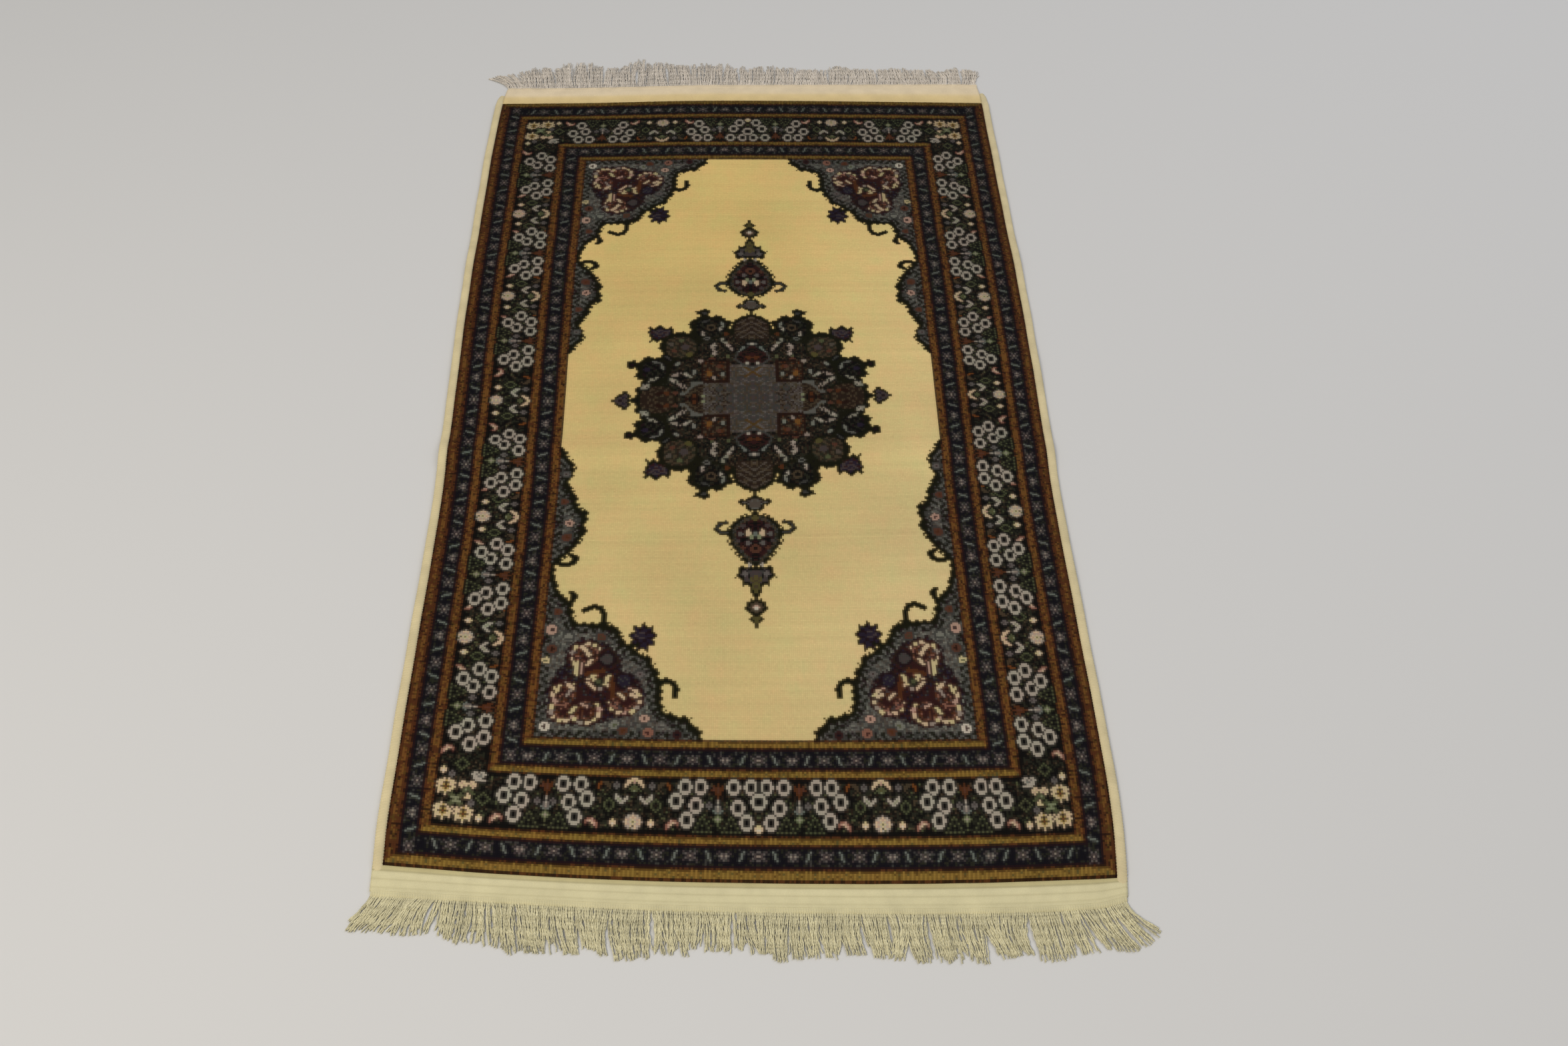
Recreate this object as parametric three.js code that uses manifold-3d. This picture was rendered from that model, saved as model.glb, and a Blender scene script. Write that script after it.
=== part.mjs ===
// A small hand-knotted silk rug, lying flat on a floor with its fringes spread.
// Millimetres. X runs across the rug, Y from its near end to its far end, Z up from the floor.
// The woven cloth is one solid: the knotted pile, and at each end a low flatwoven band.
// An overcast cord binds each long side, and a narrow knotted heading carries each fringe.

import * as THREE from 'three';
import { mergeVertices } from 'three/addons/utils/BufferGeometryUtils.js';
import Module from 'manifold-3d';

// Thicknesses
const PILE_TOP = 3.8;
const PILE_SHOULDER = 1.5;
const PILE_SHOULDER_REACH = 2.6;
const FLATWEAVE_TOP = 1.9;
const FAR_BAND_CROWN = 1.3;

// Flatwoven bands beyond the pile
const NEAR_BAND_DEPTH = 22;
const FAR_BAND_DEPTH = 25;

// Overcast cords along the sides; the far tip narrows and turns in round the corner
const CORD_WIDTH = 8;
const CORD_HEIGHT = 4.2;
const CORD_SIDES = 8;
const CORD_STEPS = 36;
const CORD_TIP = 7;
const CORD_TIP_TURN = 1.5;

// Fringes: strands in locks, whose tips are drawn together by a part of the strand's pitch
const STRANDS_PER_END = 146;
const STRAND_WIDTH = 2.8;
const STRAND_HEIGHT = 1.6;
const STRAND_EARLY_BEND = 0.45;
const HEADING_DEPTH = 3;
const HEADING_HEIGHT = 1.7;
const HEADING_STEPS = 24;
const ROOT_SINK = 1.2;
const LOCK_SIZE = 6;
const LOCK_PULL = 0.14;
const LOCK_SWAY = 0.7;
const LOCK_UNEVENNESS = 0.05;
const STRAND_UNEVENNESS = 0.04;

// Space left between one solid and the next
const SEAM = 0.3;

// How far along the rug the corners of the woven cloth lie from its middle
const CORNER = 490;

// Half-widths of the woven cloth on its left and right side, along the rug.
// The crease draws the left side in.
const SIDES = [
  { y: -492, left: 266, right: 269.5 },
  { y: -400, left: 264.5, right: 269 },
  { y: -250, left: 261.5, right: 267.5 },
  { y: -110, left: 260, right: 265 },
  { y: 50, left: 264.5, right: 266.3 },
  { y: 230, left: 268, right: 267 },
  { y: 460, left: 268.5, right: 265.5 },
  { y: 492, left: 267, right: 265 },
];

// Where the pile starts and ends, across the rug: the ends were never beaten quite straight.
const ENDS = [
  { x: -268, near: -456, far: 455 },
  { x: -170, near: -463, far: 458.5 },
  { x: -60, near: -467.5, far: 464 },
  { x: 60, near: -469.5, far: 465 },
  { x: 160, near: -470.5, far: 466.5 },
  { x: 268, near: -470, far: 468 },
];

// Soft folds across the cloth: the crown's height at the left and right side, and its half-width.
const FOLDS = [
  { y: -60, left: 2.6, right: 1.6, reach: 26 },
  { y: 52, left: 0.7, right: 1.0, reach: 42 },
  { y: 192, left: 0.9, right: 0.8, reach: 46 },
  { y: -188, left: 0.5, right: 0.7, reach: 44 },
];

// How the strands lie: their sideways lean at the tip and their length away from the rug.
const NEAR_FRINGE = [
  { x: -276, lean: -20, length: 27 },
  { x: -262, lean: -21, length: 31 },
  { x: -236, lean: -13, length: 34 },
  { x: -200, lean: -1, length: 36 },
  { x: -150, lean: 8, length: 41 },
  { x: -90, lean: 5, length: 41 },
  { x: 0, lean: 1, length: 42 },
  { x: 80, lean: 3, length: 41 },
  { x: 150, lean: 3, length: 42 },
  { x: 205, lean: 8, length: 38 },
  { x: 240, lean: 19, length: 38 },
  { x: 262, lean: 22, length: 35 },
  { x: 271, lean: 26, length: 24 },
  { x: 277, lean: 29, length: 0 },
];
const FAR_FRINGE = [
  { x: -276, lean: -15, length: 20 },
  { x: -264, lean: -16, length: 28 },
  { x: -240, lean: -9, length: 41 },
  { x: -200, lean: -5, length: 49 },
  { x: -150, lean: -1, length: 53 },
  { x: -80, lean: -2, length: 49 },
  { x: -20, lean: 0, length: 45 },
  { x: 60, lean: 1, length: 42 },
  { x: 140, lean: 0, length: 42 },
  { x: 205, lean: -3, length: 42 },
  { x: 228, lean: -6, length: 36 },
  { x: 244, lean: 0, length: 43 },
  { x: 268, lean: 2, length: 34 },
  { x: 277, lean: 2, length: 24 },
];

const { clamp, lerp } = THREE.MathUtils;

/** Reads a column of a table at a place along it, on a smooth curve through the rows. */
function along(table, key, column, at) {
  const last = table.length - 1;
  let row = 0;
  while (row < last - 1 && at > table[row + 1][key]) row += 1;
  const [before, low, high, after] = [row - 1, row, row + 1, row + 2].map((i) => table[clamp(i, 0, last)]);
  const span = high[key] - low[key];
  const t = clamp((at - low[key]) / span, 0, 1);
  const rise = high[column] - low[column];
  const slopeIn = ((high[column] - before[column]) / (high[key] - before[key])) * span;
  const slopeOut = ((after[column] - low[column]) / (after[key] - low[key])) * span;
  return low[column] + rise * t * t * (3 - 2 * t) + t * (1 - t) * (slopeIn * (1 - t) - slopeOut * t);
}

const leftEdge = (y) => -along(SIDES, 'y', 'left', y);
const rightEdge = (y) => along(SIDES, 'y', 'right', y);
const nearPile = (x) => along(ENDS, 'x', 'near', x);
const farPile = (x) => along(ENDS, 'x', 'far', x);
const nearBand = (x) => nearPile(x) - NEAR_BAND_DEPTH;
const farBand = (x) => farPile(x) + FAR_BAND_DEPTH;

/** The outer side of a side cord at one end of the rug, where the heading ends too. */
function outerSide(side, direction) {
  const edge = side < 0 ? leftEdge : rightEdge;
  return edge(direction * CORNER) + side * (SEAM + CORD_WIDTH);
}

/** A fixed scatter between -1 and 1, the same each time. */
function scatter(index, stream) {
  const wave = Math.sin(index * 12.9898 + stream * 78.233) * 43758.5453;
  return 2 * (wave - Math.floor(wave)) - 1;
}

/** How far the cloth's underside stands off the floor. */
function lift(x, y) {
  const across = clamp((x - leftEdge(y)) / (rightEdge(y) - leftEdge(y)), 0, 1);
  let height = 0;
  for (const fold of FOLDS) {
    const off = clamp(Math.abs(y - fold.y) / fold.reach, 0, 1);
    height += lerp(fold.left, fold.right, across) * 0.5 * (1 + Math.cos(Math.PI * off));
  }
  return height;
}

/** The pile's upper surface above the underside, rounded down towards the edges of the pile. */
function pileHeight(fromEdge) {
  const short = clamp(1 - fromEdge / PILE_SHOULDER_REACH, 0, 1);
  return PILE_TOP - PILE_SHOULDER * (1 - Math.sqrt(1 - short * short));
}

/** A closed body from its corner points and faces. */
function solid(points, faces) {
  const geometry = new THREE.BufferGeometry();
  geometry.setAttribute('position', new THREE.Float32BufferAttribute(points.flat(), 3));
  geometry.setIndex(faces.flat());
  return geometry;
}

/** A closed sheet from rows of {x, y, low, high}, row after row towards +Y, each row towards +X. */
function sheet(rows) {
  const width = rows[0].length;
  const cells = rows.flat();
  const points = [...cells.map((c) => [c.x, c.y, c.high]), ...cells.map((c) => [c.x, c.y, c.low])];
  const top = (row, column) => row * width + column;
  const under = (row, column) => cells.length + top(row, column);
  const faces = [];
  const quad = (a, b, c, d) => faces.push([a, b, c], [a, c, d]);
  for (let r = 0; r < rows.length - 1; r += 1) {
    for (let c = 0; c < width - 1; c += 1) {
      quad(top(r, c), top(r, c + 1), top(r + 1, c + 1), top(r + 1, c));
      quad(under(r, c), under(r + 1, c), under(r + 1, c + 1), under(r, c + 1));
    }
  }
  const lastRow = rows.length - 1;
  for (let c = 0; c < width - 1; c += 1) {
    quad(under(0, c), under(0, c + 1), top(0, c + 1), top(0, c));
    quad(under(lastRow, c + 1), under(lastRow, c), top(lastRow, c), top(lastRow, c + 1));
  }
  for (let r = 0; r < lastRow; r += 1) {
    quad(under(r + 1, 0), under(r, 0), top(r, 0), top(r + 1, 0));
    quad(under(r, width - 1), under(r + 1, width - 1), top(r + 1, width - 1), top(r, width - 1));
  }
  return solid(points, faces);
}

/** A closed body along like rings of points. Each ring runs anticlockwise seen from the start. */
function loft(rings) {
  const sides = rings[0].length;
  const points = rings.flat();
  const faces = [];
  for (let r = 0; r < rings.length - 1; r += 1) {
    for (let s = 0; s < sides; s += 1) {
      const [a, b] = [r * sides + s, r * sides + ((s + 1) % sides)];
      faces.push([a, a + sides, b + sides], [a, b + sides, b]);
    }
  }
  const end = (rings.length - 1) * sides;
  for (let s = 1; s < sides - 1; s += 1) {
    faces.push([0, s, s + 1], [end, end + s + 1, end + s]);
  }
  return solid(points, faces);
}

/** The woven cloth in one piece: near band, knotted pile, far band. */
function wovenCloth() {
  const columnInsets = [0, 0.9, PILE_SHOULDER_REACH];
  const middleColumns = 12;
  const shoulderSteps = [0.25, 1, PILE_SHOULDER_REACH];
  const bandSteps = [0, 0.3, 0.6, 0.85, 1];
  const spacing = 34;
  const foldSteps = [-1, -0.6, -0.3, 0, 0.3, 0.6, 1];
  const foldRoom = 1.15;

  const row = (place, height) => {
    const cells = [];
    const add = (across, inset) => {
      let y = place(lerp(leftEdge(0), rightEdge(0), across));
      const x = lerp(leftEdge(y) + inset, rightEdge(y) - inset, across);
      y = place(x);
      const low = lift(x, y);
      cells.push({ x, y, low, high: low + height(inset) });
    };
    columnInsets.forEach((inset) => add(0, inset));
    for (let c = 1; c < middleColumns; c += 1) add(c / middleColumns, PILE_SHOULDER_REACH);
    [...columnInsets].reverse().forEach((inset) => add(1, inset));
    return cells;
  };

  const rows = [];
  for (const t of bandSteps) rows.push(row((x) => lerp(nearBand(x), nearPile(x), t), () => FLATWEAVE_TOP));
  for (const step of shoulderSteps) {
    rows.push(row((x) => nearPile(x) + step, (inset) => Math.min(pileHeight(inset), pileHeight(step))));
  }

  const start = nearPile(0) + spacing / 2;
  const stop = farPile(0) - spacing / 2;
  const places = [];
  for (let y = start; y < stop; y += spacing) places.push(y);
  for (const fold of FOLDS) {
    const clear = places.filter((y) => Math.abs(y - fold.y) > fold.reach * foldRoom);
    places.length = 0;
    places.push(...clear, ...foldSteps.map((step) => fold.y + step * fold.reach));
  }
  places.sort((a, b) => a - b);
  for (const y of places) {
    const part = (y - nearPile(0)) / (farPile(0) - nearPile(0));
    rows.push(row((x) => lerp(nearPile(x), farPile(x), part), pileHeight));
  }

  for (const step of [...shoulderSteps].reverse()) {
    rows.push(row((x) => farPile(x) - step, (inset) => Math.min(pileHeight(inset), pileHeight(step))));
  }
  for (const t of bandSteps) {
    const crown = FLATWEAVE_TOP + FAR_BAND_CROWN * Math.sin(Math.PI * t);
    rows.push(row((x) => lerp(farPile(x), farBand(x), t), () => crown));
  }
  return sheet(rows);
}

/** The overcast cord beside one long side, from band edge to band edge, its far tip turned in. */
function sideCord(side) {
  const edge = side < 0 ? leftEdge : rightEdge;
  const yNear = nearBand(side * CORNER);
  const yFar = farBand(side * CORNER) - CORD_TIP;
  const stations = [];
  for (let i = 0; i <= CORD_STEPS; i += 1) {
    stations.push({ y: lerp(yNear, yFar, i / CORD_STEPS), turn: 0, size: 1 });
  }
  stations.push({ y: yFar + CORD_TIP * 0.6, turn: 0.5, size: 0.8 });
  stations.push({ y: yFar + CORD_TIP, turn: 1, size: 0.4 });
  return loft(stations.map(({ y, turn, size }) => {
    const half = CORD_WIDTH / 2;
    const x = edge(y) + side * (SEAM + half - CORD_TIP_TURN * turn);
    const low = lift(edge(y), y);
    const ring = [];
    for (let s = 0; s < CORD_SIDES; s += 1) {
      const angle = (2 * Math.PI * (s + 0.5)) / CORD_SIDES;
      const rise = clamp(0.5 - 0.54 * Math.cos(angle), 0, 1);
      ring.push([x + half * size * Math.sin(angle), y, low + CORD_HEIGHT * size * rise]);
    }
    return ring;
  }));
}

/** The narrow heading along one end of the cloth and its cords, where the strands start. */
function heading(direction) {
  const band = direction < 0 ? nearBand : farBand;
  const line = [];
  for (let i = 0; i <= HEADING_STEPS; i += 1) {
    const x = lerp(outerSide(-1, direction), outerSide(1, direction), i / HEADING_STEPS);
    line.push({ x, y: band(x) + direction * SEAM });
  }
  const row = (depth) => line.map(({ x, y }) => (
    { x, y: y + direction * depth, low: 0, high: HEADING_HEIGHT }
  ));
  return sheet(direction < 0 ? [row(HEADING_DEPTH), row(0)] : [row(0), row(HEADING_DEPTH)]);
}

/** One strand: three-sided, level on the floor, curving from its root to a narrow tip. */
function strand(index, direction, table) {
  const start = outerSide(-1, direction);
  const pitch = (outerSide(1, direction) - start) / STRANDS_PER_END;
  const x = start + pitch * (index + 0.5);
  const band = direction < 0 ? nearBand : farBand;
  const root = band(x) + direction * (SEAM + HEADING_DEPTH - ROOT_SINK);
  const inLock = (index % LOCK_SIZE) - (LOCK_SIZE - 1) / 2;
  const lock = Math.floor(index / LOCK_SIZE);
  const lean = along(table, 'x', 'lean', x) - inLock * pitch * LOCK_PULL + LOCK_SWAY * scatter(lock, 1);
  const uneven = 1 + LOCK_UNEVENNESS * scatter(lock, 2) + STRAND_UNEVENNESS * scatter(index, 3);
  const length = along(table, 'x', 'length', x) * uneven;
  const sections = [
    { t: 0, width: 1 },
    { t: 0.38, width: 1 },
    { t: 0.72, width: 0.95 },
    { t: 1, width: 0.4 },
  ];
  const centre = (t) => new THREE.Vector2(
    x + lean * lerp(STRAND_EARLY_BEND * t, t, t),
    root + direction * (ROOT_SINK + length) * t,
  );
  return loft(sections.map(({ t, width }) => {
    const at = centre(t);
    const course = at.clone().sub(centre(t - 0.05)).normalize();
    const half = (STRAND_WIDTH * width) / 2;
    const height = STRAND_HEIGHT * lerp(1, width, 0.5);
    return [
      [at.x - course.y * half, at.y + course.x * half, 0],
      [at.x + course.y * half, at.y - course.x * half, 0],
      [at.x, at.y, height],
    ];
  }));
}

const wasm = await Module();
wasm.setup();

/** The same closed body, ready to be joined to another. */
function toManifold(geometry) {
  geometry.deleteAttribute('normal');
  geometry.deleteAttribute('uv');
  const merged = mergeVertices(geometry, 1e-4);
  return new wasm.Manifold(new wasm.Mesh({
    numProp: 3,
    vertProperties: new Float32Array(merged.attributes.position.array),
    triVerts: new Uint32Array(merged.index.array),
  }));
}

/** A fringe: its heading with every strand grown from it, in one body. */
function fringe(direction, table) {
  let body = toManifold(heading(direction));
  for (let i = 0; i < STRANDS_PER_END; i += 1) body = body.add(toManifold(strand(i, direction, table)));
  const mesh = body.getMesh();
  const geometry = new THREE.BufferGeometry();
  geometry.setAttribute('position', new THREE.BufferAttribute(new Float32Array(mesh.vertProperties), 3));
  geometry.setIndex(new THREE.BufferAttribute(new Uint32Array(mesh.triVerts), 1));
  return geometry;
}

const silkPile = new THREE.MeshStandardMaterial({ color: '#8c7443', roughness: 0.6, metalness: 0 });
const creamCord = new THREE.MeshStandardMaterial({ color: '#d8cf9a', roughness: 0.75, metalness: 0 });
const fringeYarn = new THREE.MeshStandardMaterial({ color: '#c2b890', roughness: 0.8, metalness: 0 });

const rug = new THREE.Group();

/** Adds one named sub-part to the rug. */
function piece(name, geometry, material) {
  geometry.computeVertexNormals();
  const mesh = new THREE.Mesh(geometry, material);
  mesh.name = name;
  rug.add(mesh);
}

piece('woven_cloth', wovenCloth(), silkPile);
piece('side_cord_left', sideCord(-1), creamCord);
piece('side_cord_right', sideCord(1), creamCord);
piece('fringe_near', fringe(-1, NEAR_FRINGE), fringeYarn);
piece('fringe_far', fringe(1, FAR_FRINGE), fringeYarn);

// The origin is under the middle of the whole rug, fringes included.
const middle = new THREE.Box3().setFromObject(rug).getCenter(new THREE.Vector3());
for (const mesh of rug.children) mesh.position.set(-middle.x, -middle.y, 0);

export default rug;
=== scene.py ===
"""A small hand-knotted silk rug with a medallion, lying flat with its fringes spread.

Lengths in the tables are millimetres: x across the rug to the right, y along it to
the far end, z up. The design is charted for one quarter of the rug, a knot at a time, and mirrored.
"""

import math
from types import SimpleNamespace

import bpy
import numpy as np
from mathutils import Matrix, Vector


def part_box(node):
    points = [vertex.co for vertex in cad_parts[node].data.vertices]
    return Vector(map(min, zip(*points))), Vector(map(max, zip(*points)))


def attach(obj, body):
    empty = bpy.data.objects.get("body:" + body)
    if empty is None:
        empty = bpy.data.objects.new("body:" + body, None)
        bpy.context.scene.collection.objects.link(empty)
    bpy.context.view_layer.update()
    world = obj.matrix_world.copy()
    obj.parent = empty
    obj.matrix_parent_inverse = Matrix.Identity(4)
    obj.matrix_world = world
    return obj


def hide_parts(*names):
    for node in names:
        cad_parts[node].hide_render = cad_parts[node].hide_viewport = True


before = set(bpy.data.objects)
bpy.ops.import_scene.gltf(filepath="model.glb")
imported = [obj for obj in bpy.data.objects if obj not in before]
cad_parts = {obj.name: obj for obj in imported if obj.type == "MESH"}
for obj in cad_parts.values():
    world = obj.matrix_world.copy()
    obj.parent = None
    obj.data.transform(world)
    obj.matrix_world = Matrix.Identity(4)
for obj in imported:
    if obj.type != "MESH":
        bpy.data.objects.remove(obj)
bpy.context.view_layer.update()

bl_info = {
    "name": "Silk Rug",
    "version": (1, 0, 0),
    "blender": (4, 5, 0),
    "location": "View3D > Sidebar > Silk Rug",
    "description": "Knots a small silk rug with a medallion, its flatwoven ends, side cords and fringes",
    "category": "Object",
}

MM = 0.001


def table(columns, *rows):
    """A short table, given row by row. Its first column is the place at which the others are read."""
    return dict(zip(columns.split(), np.array(rows, float).T))


# Half-widths of the cloth on its left and right side, along the rug
SIDES = table(
    "y left right",
    (-492, 258.5, 260.5), (-455, 260.3, 264.8), (-425, 261.8, 267.2), (-360, 262.2, 268.3),
    (-230, 261.3, 266.2), (-115, 260.9, 265), (0, 263.6, 266.4), (130, 266.6, 266.8),
    (290, 267, 264.2), (400, 266.3, 262.4), (455, 264.3, 261.7), (492, 262.5, 260.5),
)
# Where the pile starts and ends, across the rug, and how deep the flatwoven bands are beyond it, as
# parts of their usual depth
ENDS = table(
    "x near far near_band far_band",
    (-268, -455.5, 449.8, 1.05, 0.95), (-170, -464.2, 453, 0.93, 0.95),
    (-60, -470.2, 458.8, 0.94, 0.98), (60, -473, 460.6, 0.96, 1.02), (160, -473, 460.5, 1.0, 1.1),
    (245, -470.6, 460, 0.97, 1.17), (268, -469.5, 460, 0.75, 1.15),
)
# Where the rows of the design lie: the weaver beat the near end a little looser than the far end
BEAT = table("v y", (-467, -473), (-355, -356), (0, 4), (355, 354), (467, 460.6))
# How much the rows of knots rise to the right, where the cloth was pulled askew
SKEW = table(
    "v rise",
    (-467, 0), (-355, 0.008), (-110, 0.037), (-40, 0.044), (5, 0.034), (45, 0.012), (100, 0.004),
    (467, 0),
)
# Soft folds across the cloth: where, the crown's height at the left and right side, and half-width
FOLDS = ((-60, 2.6, 1.6, 26), (52, 0.7, 1.0, 42), (192, 0.9, 0.8, 46), (-188, 0.5, 0.7, 44))
# How the fringes lie: sideways lean at the tip, and length away from the heading
NEAR_FRINGE = table(
    "x lean length",
    (-276, -14, 22), (-262, -15, 25), (-236, -11, 28), (-205, -2, 31), (-170, 5, 34), (-120, 4, 33),
    (-60, 1, 33), (0, 1, 30), (60, 2, 32), (120, 3, 34), (190, 5, 35), (226, 9, 31), (247, 14, 34),
    (262, 19, 30), (270, 22, 17), (277, 27, 3),
)
FAR_FRINGE = table(
    "x lean length",
    (-276, -24, 14), (-262, -24, 17), (-250, -15, 28), (-236, -8, 36), (-196, -4, 41),
    (-150, -1, 43), (-84, -1, 43), (-40, 0, 41), (0, 0, 37), (60, 1, 33), (140, 0, 32),
    (205, -3, 30), (228, -4, 24), (244, 1, 30), (260, 6, 25), (277, 8, 14),
)

# Where the cloth's corners are looked up in its tables
CORNER = 490
# How far neighbouring pieces press into each other, so that no floor shows between them
PRESS = 0.5
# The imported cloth's leftmost and farthest points in these tables, which place them in the frame
CLOTH_LEFT = -268.67
CLOTH_FAR = 492.96
# How far the design's middle column stands to the right of the cloth's own middle
DESIGN_DRIFT = 4.5
# How far from the middle the skew of the rows goes on growing
SKEW_REACH = 150
# Rounds in which a place settles, because each pair of edges depends on the other
EDGE_ROUNDS = 3

# Half the size of the design, from the middle of the rug to the pile's edges
HALF_ACROSS = 266
HALF_ALONG = 467
# The usual numbers of a scatter by sines
SCATTER = (12.9898, 78.233, 43758.5453)

# Dyed silk, as sRGB
DYES = {
    "field": "#cdb371",
    "gold": "#85692f",
    "brass": "#6d5424",
    "gold_dark": "#503a17",
    "amber": "#6a4720",
    "rust": "#4b2a15",
    "rust_dark": "#23120b",
    "plum": "#1d0f12",
    "navy": "#100e13",
    "ground": "#0d0b09",
    "ring": "#a29989",
    "white": "#bdb4a2",
    "rose": "#c3ab8a",
    "pink": "#a88876",
    "salmon": "#7d5646",
    "maroon": "#2e1614",
    "wine": "#4f3124",
    "slate": "#57564f",
    "slate_dark": "#393834",
    "slate_pale": "#6f6f64",
    "night_green": "#161509",
    "leaf": "#4b4e34",
    "leaf_pale": "#787c5e",
    "leaf_dark": "#24241a",
    "teal": "#666b62",
    "lilac": "#5d5752",
    "lilac_dark": "#413836",
    "violet": "#221b28",
    "heart": "#4c443b",
    "brown": "#261b13",
    "umber": "#423728",
    "olive": "#4d4726",
    "orange": "#683c1a",
    "shell": "#8c7f72",
    "moth": "#7e7b6b",
    "cream": "#bfaf82",
    "butter": "#9f8748",
}
DYE_NAMES = list(DYES)
# The dye of each letter in the charts of small motifs
LETTERS = {
    "w": "ring", "W": "white", "k": "ground", "p": "rose", "P": "pink", "s": "salmon",
    "m": "maroon", "r": "rust", "o": "orange", "e": "leaf", "g": "leaf_pale", "E": "leaf_dark",
    "t": "teal", "T": "slate_dark", "l": "lilac", "L": "lilac_dark", "a": "olive", "c": "cream",
    "y": "butter", "b": "brown", "u": "umber", "i": "wine", "h": "shell",
}

# Knots in each band of the border, from the edge of the pile inwards, and then none in the field
SIDE_BANDS = np.array((6, 8, 5, 22, 5, 9, 5, 0))
END_BANDS = np.array((6, 10, 5, 27, 5, 10, 5, 0))
SIDE_STARTS = np.cumsum(SIDE_BANDS) - SIDE_BANDS
END_STARTS = np.cumsum(END_BANDS) - END_BANDS
STRIPES = (0, 2, 4, 6)
GUARDS = (1, 5)
MAIN = 3
FIELD = 7

# Small repeats, charted knot by knot. The top of each chart is turned to the field.
MOTIFS = {
    "ring": """
        ..www..
        .wwwww.
        .wkkkw.
        wwkkkww
        wwkkkww
        .wkkkw.
        .wwwww.
        ..www..""",
    "star": """
        L..l..L
        .lL.Ll.
        ..LhL..
        .lL.Ll.
        L..l..L""",
    "floret_star": """
        .L...L.
        L.lLl.L
        .lhLhl.
        ..lLl..
        .L.l.L.""",
    "slash": """
        ..t
        .tT
        .t.
        Tt.
        t..""",
    "stalk": """
        u..r..u
        ur.r.ru
        .rriri.
        .rririr
        ..rir..
        ..rrr..
        ...r...
        ...r...
        ...h...
        ...w...
        ...l...
        ..lwl..
        ..lhl..
        .tlhlt.
        ..tlt..
        ...e...
        ..ege..
        .eghge.
        ..ege..
        ...e...
        ...e...""",
    "leaf_mound": """
        ....e....
        ...eEe...
        ...E.E...
        ..eE.Ee..
        ..E.e.E..
        .eE...Ee.
        .E..E..E.
        eEeEeEeEe""",
    "blossom": """
        ...ppp...
        .ppcPcpp.
        .pp.P.pp.
        pp..e..pp
        p..eee..p
        ..eeaee..
        ...ege...""",
    "wing": """
        .....w
        w...ww
        ww.wgw
        .wwgw.
        ..ww..""",
    "lotus": """
        ....h....
        ..whphw..
        .hwpPpwh.
        .pPwcwPp.
        hpwcecwph
        .pPwcwPp.
        .hwp.pwh.
        ..hewph..""",
    "green_ring": """
        ..e..
        .eEe.
        eE.Ee
        e...e
        eE.Ee
        .eEe.
        ..e..""",
    "lilac_bud": """
        .l.
        lLl
        lll
        .l.""",
    "olive_arc": """
        .uuuo.
        uuu.oo
        uu...o
        u....o
        .u....""",
    "cream_bud": """
        .c.
        pcp
        pWp
        .p.""",
    "salmon_petal": """
        .ssP..
        sPpPs.
        sm.pPs
        m...Ps
        .....s""",
    "gold_lotus": """
        ...p.p...
        .pcpypcp.
        pcpubupcp
        .ppybypp.
        pcuboubcp
        .cpybypc.
        .pcpypcp.
        .p..c..p.
        ....p....""",
    "twin_bloom": """
        .pp..pp.
        pcPppcPp
        pPc.pPcp
        .p.ee.p.
        ..eege..
        .ee.eee.
        ee.p..ee
        ..pcp...
        ..cpc...""",
    "white_bell": """
        .ww.ww.
        wwlwlww
        .wtlww.
        ..wwww.
        wwwww..""",
    "leaf_spray": """
        .e...e.
        eee.eee
        .egggg.
        ..ege..
        .gggge.
        eee.eee
        .e...e.""",
    "lozenge": """
        ...e...
        ..eEe..
        .eEkEe.
        eEkkkEe
        .eEkEe.
        ..eEe..
        ...e...""",
}

# One half of the main band's repeat, from a stalk to the next flower. Along is from the stalk, depth
# from the band's inner edge.
CLUSTER = (
    ("leaf_mound", 10.5, 36.5), ("lilac_bud", 6, 21), ("ring", 12, 6.6), ("ring", 24.4, 6.9),
    ("ring", 30.6, 17.6), ("ring", 16.6, 21.6), ("ring", 22.4, 33),
)
FLOWER = (
    ("blossom", 0, 6.5), ("lotus", 0, 34.5), ("wing", 8.6, 17), ("lilac_bud", 13, 6),
    ("green_ring", 17, 22.5), ("olive_arc", 22, 7), ("cream_bud", 14, 36), ("salmon_petal", 29, 37),
)
MIDDLE_CLUSTER = (
    ("leaf_mound", 19.7, 36.5), ("ring", 6.2, 6.8), ("ring", 18.2, 6.6), ("ring", 0, 18.8),
    ("ring", 15, 22.4), ("ring", 8.4, 33.6), ("cream_bud", 0, 40),
)
# How deep in the band the middle of a stalk lies
STALK_DEPTH = 20
# What fills the corners of the main band, from its inner corner: across and along the rug
CORNER_BLOCK = (
    ("gold_lotus", 13, 35), ("gold_lotus", 28, 33), ("twin_bloom", 13.5, 15),
    ("gold_lotus", 28.4, 14.5), ("leaf_spray", 20, 24), ("white_bell", 5.8, 3.5),
    ("cream_bud", 31, 0.5), ("cream_bud", 3, 38.5), ("salmon_petal", -9, 37.5),
    ("salmon_petal", 31, -18), ("lozenge", 19, -6), ("lozenge", 0.6, 22.5), ("lilac_bud", 25, 3.5),
    ("lilac_bud", 8.6, 27),
)
# Where stalks and flowers stand along the main band, from the middle of the rug
END_STALKS = (30.2, 155.5)
END_FLOWERS = (92,)
SIDE_STALKS = (75, 203, 331)
SIDE_FLOWERS = (0, 138, 266)
# The side band is narrower than the end band: its repeat is drawn out along it, and set in a little
SIDE_DEPTH = 0.8
SIDE_STRETCH = 1.12
SIDE_GAP = 0.8
# Spacing of the motifs in the guards
END_GUARD_PITCH = 12.2
SIDE_GUARD_PITCH = 13.3


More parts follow.
